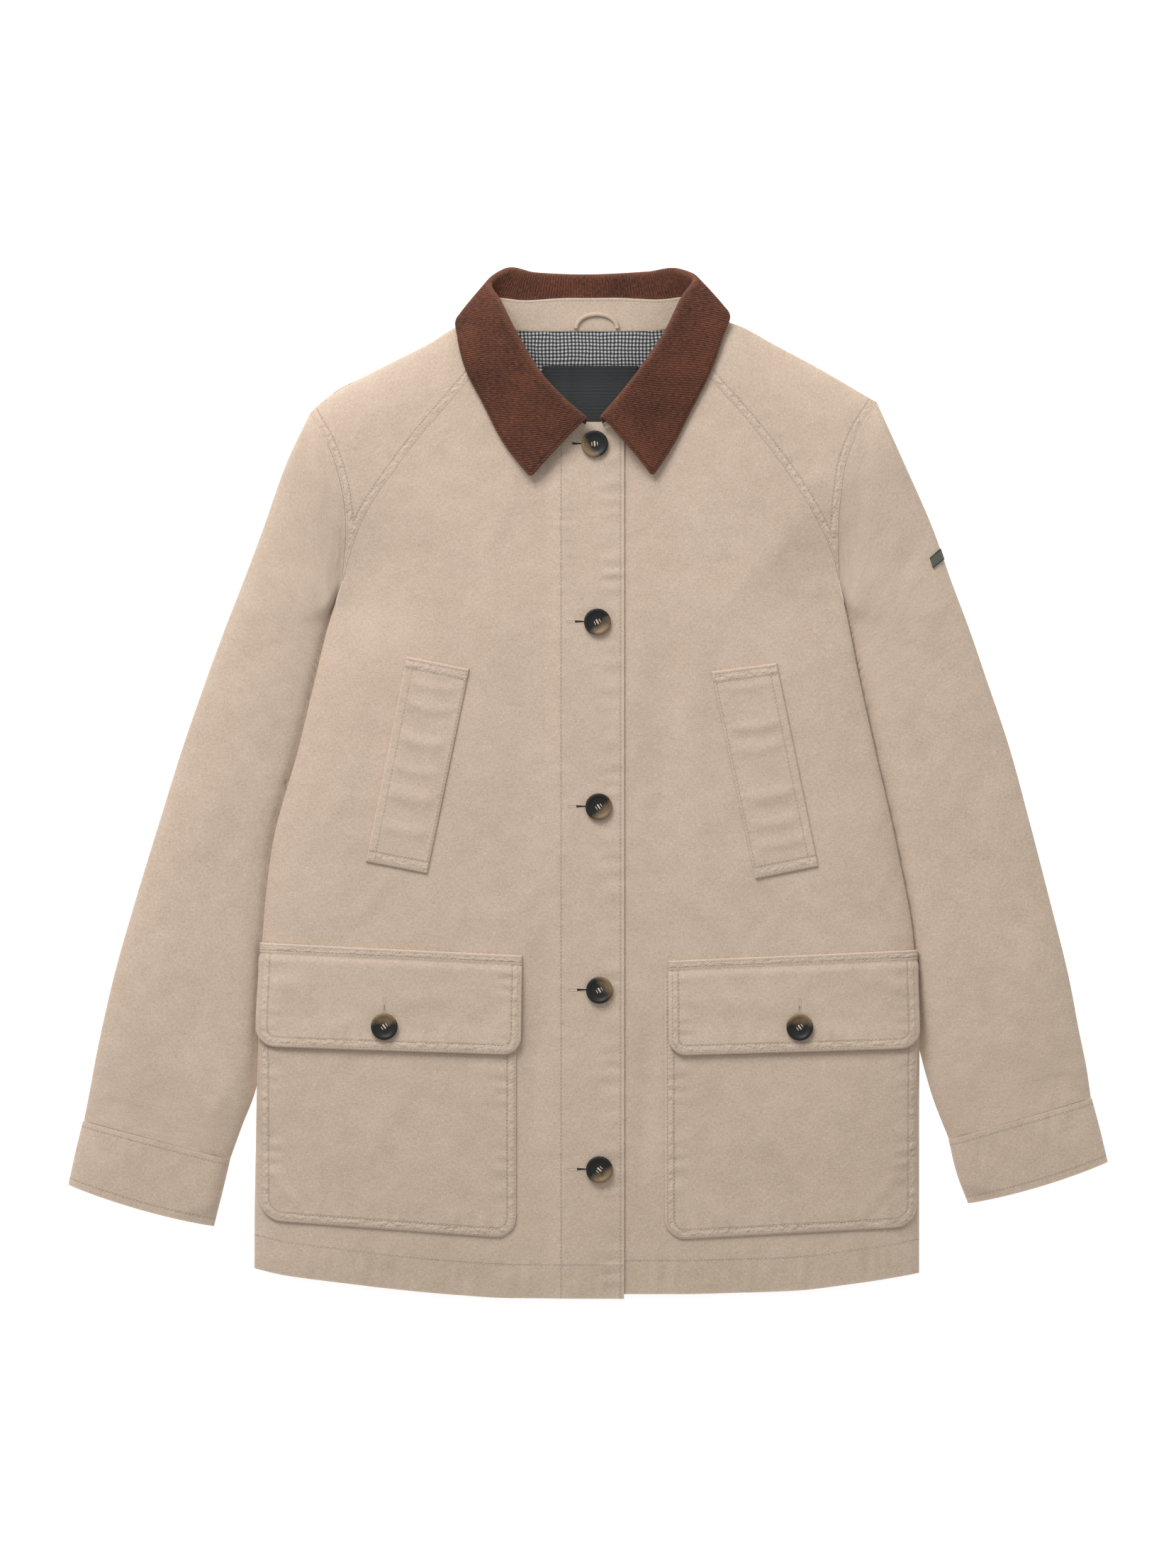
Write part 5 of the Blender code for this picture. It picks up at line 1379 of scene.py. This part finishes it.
strip_start = stand_share + STRIP_GAP / 2 / stand_length
sections = [between(seam_line, strip_top, between(strip_start, 1, share))
            for share in np.linspace(0, 1, 9)[:-1]]
for angle in np.radians(np.linspace(-90, 90, 13)):
    outwards = math.cos(angle) * towards + math.sin(angle) * across_roll
    sections.append(roll_centre + ROLL_RADIUS * outwards)
leaf_start = roll_centre + across_roll * ROLL_RADIUS
leaf_length = np.linalg.norm(leaf_line - leaf_start, axis=1)[:, None]
past_tip = lengths(leaf_line)
short = TIP_RADIUS - np.minimum(np.minimum(past_tip, past_tip[-1] - past_tip), TIP_RADIUS)
short = (TIP_RADIUS - np.sqrt(TIP_RADIUS ** 2 - short ** 2))[:, None]
leaf_line = between(leaf_line, leaf_start, short / leaf_length)
proud = ramp(roll_line[:, 2:], LEAF_PROUD)
for share in np.linspace(0, 1, 23)[1:]:
    crown = LEAF_CROWN * 4 * share * (1 - share) * proud
    sections.append(between(leaf_start, leaf_line, share) + across_roll * crown)
middle = np.stack(sections, axis=1)
uv = grid_lengths(middle)
from_leaf = uv[:, -1:, 1] - uv[..., 1]
from_tip = np.minimum(uv[..., 0], uv[-1, 0, 0] - uv[..., 0])
inset = np.minimum(np.minimum(from_leaf, uv[..., 1]), from_tip)
from_roll = uv[..., 1] - uv[:, ROLL_COLUMN:ROLL_COLUMN + 1, 1]
on_roll = np.exp(-(from_roll / ROLL_WORN) ** 2)
relief = (puckers(inset, uv[..., 0] + uv[..., 1], COLLAR_PUCKERS)
          - COLLAR_EDGE[0] * (1 - roll(inset / COLLAR_EDGE[1]))) * ramp(proud, RELIEF_FROM)
# The wales lean as cut on each leaf
lean = np.interp(stations, *WALE_SHEAR.values())[:, None]
uv = np.stack([uv[..., 0] - lean * np.maximum(from_roll, 0), uv[..., 1]], axis=-1)
collar = offset_cloth("collar_cloth", middle, DOUBLE, corduroy_finish(),
                      {"sewn": single_row((np.minimum(from_leaf, from_tip) - COLLAR_ROW) * 1.5),
                       "worn": np.maximum(on_roll * 0.9, 0.5 * (1 - ramp(inset, BAND_WORN)))},
                      uv, relief)
stands_for(collar, "collar", "corduroy", flat=(0.44, 0.09), held="folded", area=0.0286,
           rests_on=["front_right", "front_left"])


# The hanger loop: a narrow folded canvas strip, sewn at both ends into the neck seam and arched
# up over the stand.
LOOP = {"x": 6.5, "foot_y": 341, "span": 31, "rise": 10.5, "width": 3.2, "thick": 1.8}
LOOP_SECTION = table("aside rise", (-0.5, 0.45), (-0.42, 0.8), (-0.2, 0.97), (0, 1), (0.2, 0.97),
    (0.42, 0.8), (0.5, 0.45))
LOOP_UV = 14           # of its length, to each radian of the arch


def hanger_loop():
    half = len(stations) // 2
    seam, top = seam_line[half], strip_top[half]
    slope = (top[2] - seam[2]) / (top[1] - seam[1])
    grid, uv = [], []
    for turn in np.linspace(0, math.pi, 49):
        normal = unit(np.array([math.cos(turn) / LOOP["span"] * 2, math.sin(turn) / LOOP["rise"]]))
        row = []
        for aside in LOOP_SECTION["aside"] * LOOP["width"]:
            x = LOOP["x"] + LOOP["span"] / 2 * math.cos(turn) + normal[0] * aside
            y = LOOP["foot_y"] + LOOP["rise"] * math.sin(turn) + normal[1] * aside
            row.append((x, y, seam[2] + slope * (y - seam[1]) + DOUBLE / 2 + STACK))
            uv.append((turn * LOOP_UV, aside))
        grid.append(row)
    lower = np.array(grid)
    upper = lower + LOOP_SECTION["rise"][:, None] * [0, 0, LOOP["thick"]]
    return cloth("loop_cloth", upper, lower, canvas, uv=np.array(uv).reshape(*lower.shape[:2], 2))


stands_for(hanger_loop(), "hanger_loop", "canvas", flat=(0.045, 0.01), held="folded", area=0.00019)


# The buttons: 20 mm horn-like discs with four holes and a rounded rim, sewn with pale thread
# through bars that lie aslant, with a worked buttonhole beside each.
# The needle holes are near-black bars sunk between the thread bars: painted shade.
BUTTON_RADIUS = 10
BUTTON_THICK = 3.4
BUTTON_RIM = 2.1
DISH = ((1.0, -0.75), (2.2, -0.25), (2.2, -0.1))   # steps inwards and down from the rim
DISH_FACE = BUTTON_THICK - 1.05
FRONT_BUTTONS = table("x y", (5, 254), (7, 121), (8, -17), (8.5, -154), (8.5, -288))
FLAP_BUTTONS = {"right": (-152, -181), "left": (158, -181.5)}
AMBER_TURN = (220, -50, -40, 30, -60, 90, 90)       # the way each button's paler side faces
BAR_LEAN = (-86, -62, -58, -58, -42, -52, -52)      # the way its thread lies, in degrees
# Thread bars, and near-black bars of painted shade in the needle holes between them: shift aside,
# half length, radius
BARS = ((0, 2.0, 0.62), (2.05, 1.4, 0.3), (-2.05, 1.4, 0.3))
SLOTS = ((1.2, 1.7, 0.5), (-1.2, 1.7, 0.5))
BAR_UP = {"pale_thread": 0.1, "needle_hole_shade": -0.3}  # off the dished face
BEVELS = ((BUTTON_RADIUS, 0, 1.0), (BUTTON_RADIUS, BUTTON_THICK, 1.0),
          (BUTTON_RADIUS - BUTTON_RIM, BUTTON_THICK, 0.6))
ON_RING = 0.05                                      # how near counts as on it
FLAP_BUTTON_IN = (11, 68)                           # from the flap's rim and its top


def horn_finish():
    """Dark tortoise-like resin: near-black with an amber side, satin gloss."""
    made, tone, shader = new_finish("horn_resin", 0.48, others={"Specular IOR Level": 0.35})
    place = tone.node("TexCoord", None, None, 3)
    patches = noise(tone, place, 110, 4)
    turned = tone.node("SeparateXYZ", None, {0: tone.node("UVMap", {"uv_map": "cloth"})})
    amber = (patches * 1.3 + turned * 110 - 0.75).clamped(0.0, 0.7)
    colour = amber.mix((0.010, 0.010, 0.009), (0.21, 0.135, 0.07))
    tone.tree.links.new(colour.socket, shader.inputs["Base Color"])
    return made


horn = horn_finish()
# Near-black painted shade, for the buttons' needle holes and the buttonholes' open slits
painted_hole_shade = plain_finish("needle_hole_shade", (0.008, 0.006, 0.005), 0.9)


def choose(piece, kind, test):
    """Selects the faces or edges that pass a test, in edit mode."""
    bpy.ops.mesh.select_mode(type=kind)
    bpy.ops.mesh.select_all(action="DESELECT")
    shape = bmesh.from_edit_mesh(piece.data)
    for member in (shape.faces if kind == "FACE" else shape.edges):
        member.select_set(test(member))
    bmesh.update_edit_mesh(piece.data)


def on_ring(edge, radius, height):
    """Whether an edge lies on a circle of this radius at this height, in millimetres."""
    return all(abs(math.hypot(corner.co.x, corner.co.y) - radius * MM) < ON_RING * MM
               and abs(corner.co.z - height * MM) < ON_RING * MM for corner in edge.verts)


def turned_button():
    """One button at the origin: a disc with a rounded rim and a dished middle."""
    bpy.ops.mesh.primitive_cylinder_add(vertices=48, radius=BUTTON_RADIUS * MM,
                                        depth=BUTTON_THICK * MM,
                                        location=(0, 0, BUTTON_THICK / 2 * MM))
    bpy.ops.object.transform_apply(location=True)
    disc = bpy.context.active_object
    bpy.ops.object.mode_set(mode="EDIT")
    choose(disc, "FACE", lambda face: face.normal.z > 0.9)
    bpy.ops.mesh.inset(thickness=BUTTON_RIM * MM, depth=0)
    for inwards, down in DISH:
        bpy.ops.mesh.inset(thickness=inwards * MM, depth=down * MM)
    bpy.ops.mesh.poke()
    for radius, height, offset in BEVELS:
        choose(disc, "EDGE", lambda edge: on_ring(edge, radius, height))
        bpy.ops.mesh.bevel(offset=offset * MM, segments=4, affect="EDGES")
    bpy.ops.object.mode_set(mode="OBJECT")
    bpy.ops.object.shade_smooth()
    layer = disc.data.uv_layers.active
    layer.name = "cloth"
    for corner in disc.data.loops:
        layer.uv[corner.index].vector = disc.data.vertices[corner.vertex_index].co.xy
    return disc


def rounded_bar(half, radius, far_radius=None):
    """A short bar along X at the origin, its ends rounded over, one end thinner if asked."""
    thinner = (far_radius or radius) * MM
    bpy.ops.mesh.primitive_cone_add(vertices=10, radius1=radius * MM, radius2=thinner,
                                    depth=2 * half * MM, rotation=(0, -math.pi / 2, 0))
    bpy.ops.object.transform_apply(rotation=True)
    bar = bpy.context.active_object
    bpy.ops.object.mode_set(mode="EDIT")
    choose(bar, "EDGE", lambda edge: abs(edge.verts[0].co.x - edge.verts[1].co.x) < 0.01 * MM)
    bpy.ops.mesh.bevel(offset=0.5 * thinner, segments=2, affect="EDGES")
    bpy.ops.object.mode_set(mode="OBJECT")
    bpy.ops.object.shade_smooth()
    return bar


def set_copy(model, name, place, turn, finish, tilt=0.0):
    """A copy of a model with its own mesh, tilted, turned about +Z and moved to its place."""
    piece = linked(name, model.data.copy(), finish)
    piece.data.transform(Matrix.Translation(np.multiply(place, MM)) @ Matrix.Rotation(turn, 4, "Z")
                         @ Matrix.Rotation(tilt, 4, "Y"))
    return piece


def joined(name, pieces):
    """The pieces as one object, riding on the body."""
    bpy.ops.object.select_all(action="DESELECT")
    for piece in pieces:
        piece.select_set(True)
    bpy.context.view_layer.objects.active = pieces[0]
    bpy.ops.object.join()
    pieces[0].name = name
    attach(pieces[0], "root")


def highest_under(x, y, height):
    """The highest point of a surface under a button's base."""
    angles = np.linspace(0, 2 * math.pi, 13)
    radii = np.array([[0], [0.5], [0.85]]) * BUTTON_RADIUS
    return float(np.max(height(x + radii * np.cos(angles), y + radii * np.sin(angles))))


button_list = []
for index, (x, y) in enumerate(zip(*FRONT_BUTTONS.values())):
    z = highest_under(x, y, lambda u, v: front_face("right", u, v)) + STACK
    button_list.append((f"button_front_{index + 1}", x, y, z))
for side, (x, y) in FLAP_BUTTONS.items():
    z = highest_under(x, y, lambda u, v, side=side: front_face(side, u, v))
    z = z + 3 * STACK + SHELL + DOUBLE + flap_curl(*FLAP_BUTTON_IN)
    button_list.append(("button_flap_" + side, x, y, z))
model = turned_button()
bar_models = [(aside, rounded_bar(half, radius), finish)
              for finish, rows in ((thread, BARS), (painted_hole_shade, SLOTS))
              for aside, half, radius in rows]
sewn_on = {"pale_thread": [], "needle_hole_shade": []}
for (name, x, y, z), amber_turn, lean in zip(button_list, AMBER_TURN, BAR_LEAN):
    piece = set_copy(model, name + "_disc", (x, y, z), math.radians(amber_turn), horn)
    stands_for(piece, name, "horn")
    lean = math.radians(lean)
    for aside, bar, finish in bar_models:
        place = (x - math.sin(lean) * aside, y + math.cos(lean) * aside,
                 z + DISH_FACE + BAR_UP[finish.name])
        sewn_on[finish.name].append(set_copy(bar, "bar", place, lean, finish))
joined("button_threads", sewn_on["pale_thread"])
joined("button_hole_shade", sewn_on["needle_hole_shade"])


# Worked buttonholes: satin-stitched in pale thread round a slit that opens beside the button,
# level on the placket and upright on the flaps.
# The open slit is a thin near-black bar sunk in the cloth: painted shade.
SATIN = {"apart": 0.9, "pitch": 0.8, "radius": 0.36}
SLIT_SUNK = 0.3
SLIT_OVER = 0.4             # past the satin's near end
# From the button: the near and far ends of the satin; then the slit's half length and radii
FRONT_HOLE = ((-9.5, 0.3), (-23, 0.5), (3.8, 1.0, 0.42))
FLAP_HOLE = ((0, 9.5), (0, 22), (3.4, 0.42, 0.28))
satin_paths, slits = [], []


def buttonhole(x, y, hole, height, slit):
    """Satin rows down both sides and across the far end, and a near-black bar of painted shade for
    the open slit at the button.
    """
    start, end = (np.add((x, y), corner) for corner in hole[:2])
    half = hole[2][0]
    way = unit(end - start)
    aside = np.array([-way[1], way[0]]) * SATIN["apart"]
    rows = [between(start, end, np.linspace(0, 1, 12)[:, None]) + aside * side for side in (-1, 1)]
    rows.append(end + aside * np.linspace(-1, 1, 4)[:, None])
    satin_paths.extend(np.concatenate([row, height(*row.T)[:, None]], axis=1) for row in rows)
    middle = start + way * (half - SLIT_OVER)
    ends = height(*np.array([middle - way * half, middle + way * half]).T)
    slits.append(set_copy(slit, "slit", (*middle, ends.mean() - SLIT_SUNK),
                          math.atan2(way[1], way[0]), painted_hole_shade,
                          -math.atan2(ends[1] - ends[0], 2 * half)))


def flap_top(side, x, y):
    """Height of a flap's face at its buttonhole."""
    return front_face(side, x, y) + 2 * STACK + SHELL + DOUBLE + folds(x, y, FLAP_CREASES)


front_slit, flap_slit = (rounded_bar(*hole[2]) for hole in (FRONT_HOLE, FLAP_HOLE))
for x, y in zip(*FRONT_BUTTONS.values()):
    buttonhole(x, y, FRONT_HOLE, lambda u, v: sewn_face("right", u, v), front_slit)
for side, (x, y) in FLAP_BUTTONS.items():
    buttonhole(x, y, FLAP_HOLE, lambda u, v, side=side: flap_top(side, u, v), flap_slit)
stitched("buttonhole_satin", satin_paths, SATIN["pitch"], SATIN["radius"])
joined("buttonhole_slit_shade", slits)
for spare in [model, front_slit, flap_slit] + [bar for aside, bar, finish in bar_models]:
    bpy.data.objects.remove(spare)


# The white table the jacket lies on, the soft light from beyond the collar, and the camera
# straight above.
TABLE = {"size": 8, "z": -0.0004, "grey": 0.7, "glow": 0.7}     # metres
SKY_STRENGTH = 0.53
KEY = {"place": (-0.85, 2.25, 1.75), "size": (1.7, 1.4), "power": 76}
CAMERA = {"up": 6.525, "lens": 200, "film": 36}

bpy.ops.mesh.primitive_plane_add(size=TABLE["size"], location=(0, 0, TABLE["z"]))
floor = bpy.context.active_object
floor.name = "table_top"
floor.data.materials.append(plain_finish(
    "white_table", (TABLE["grey"],) * 3, 0.9,
    others={"Emission Color": (1, 1, 1, 1), "Emission Strength": TABLE["glow"]}))

sky = bpy.data.worlds.new("studio")
sky.use_nodes = True
background = sky.node_tree.nodes["Background"]
background.inputs["Color"].default_value = (1, 1, 1, 1)
background.inputs["Strength"].default_value = SKY_STRENGTH
bpy.context.scene.world = sky

lamp = bpy.data.lights.new("key_light", "AREA")
lamp.shape = "RECTANGLE"
lamp.size, lamp.size_y = KEY["size"]
lamp.energy = KEY["power"]
light = bpy.data.objects.new("key_light", lamp)
light.location = KEY["place"]
away_x, away_y, up = KEY["place"]      # it faces the jacket's middle
light.rotation_euler = (math.atan2(math.hypot(away_x, away_y), up), 0,
                        math.atan2(-away_x, away_y) + math.pi)
bpy.context.collection.objects.link(light)

camera_data = bpy.data.cameras.new("camera")
camera_data.lens = CAMERA["lens"]
camera_data.sensor_fit = "VERTICAL"
camera_data.sensor_height = CAMERA["film"]
camera = bpy.data.objects.new("camera", camera_data)
camera.location = (0, 0, CAMERA["up"])
bpy.context.collection.objects.link(camera)
bpy.context.scene.camera = camera
bpy.context.scene.view_settings.view_transform = "Standard"
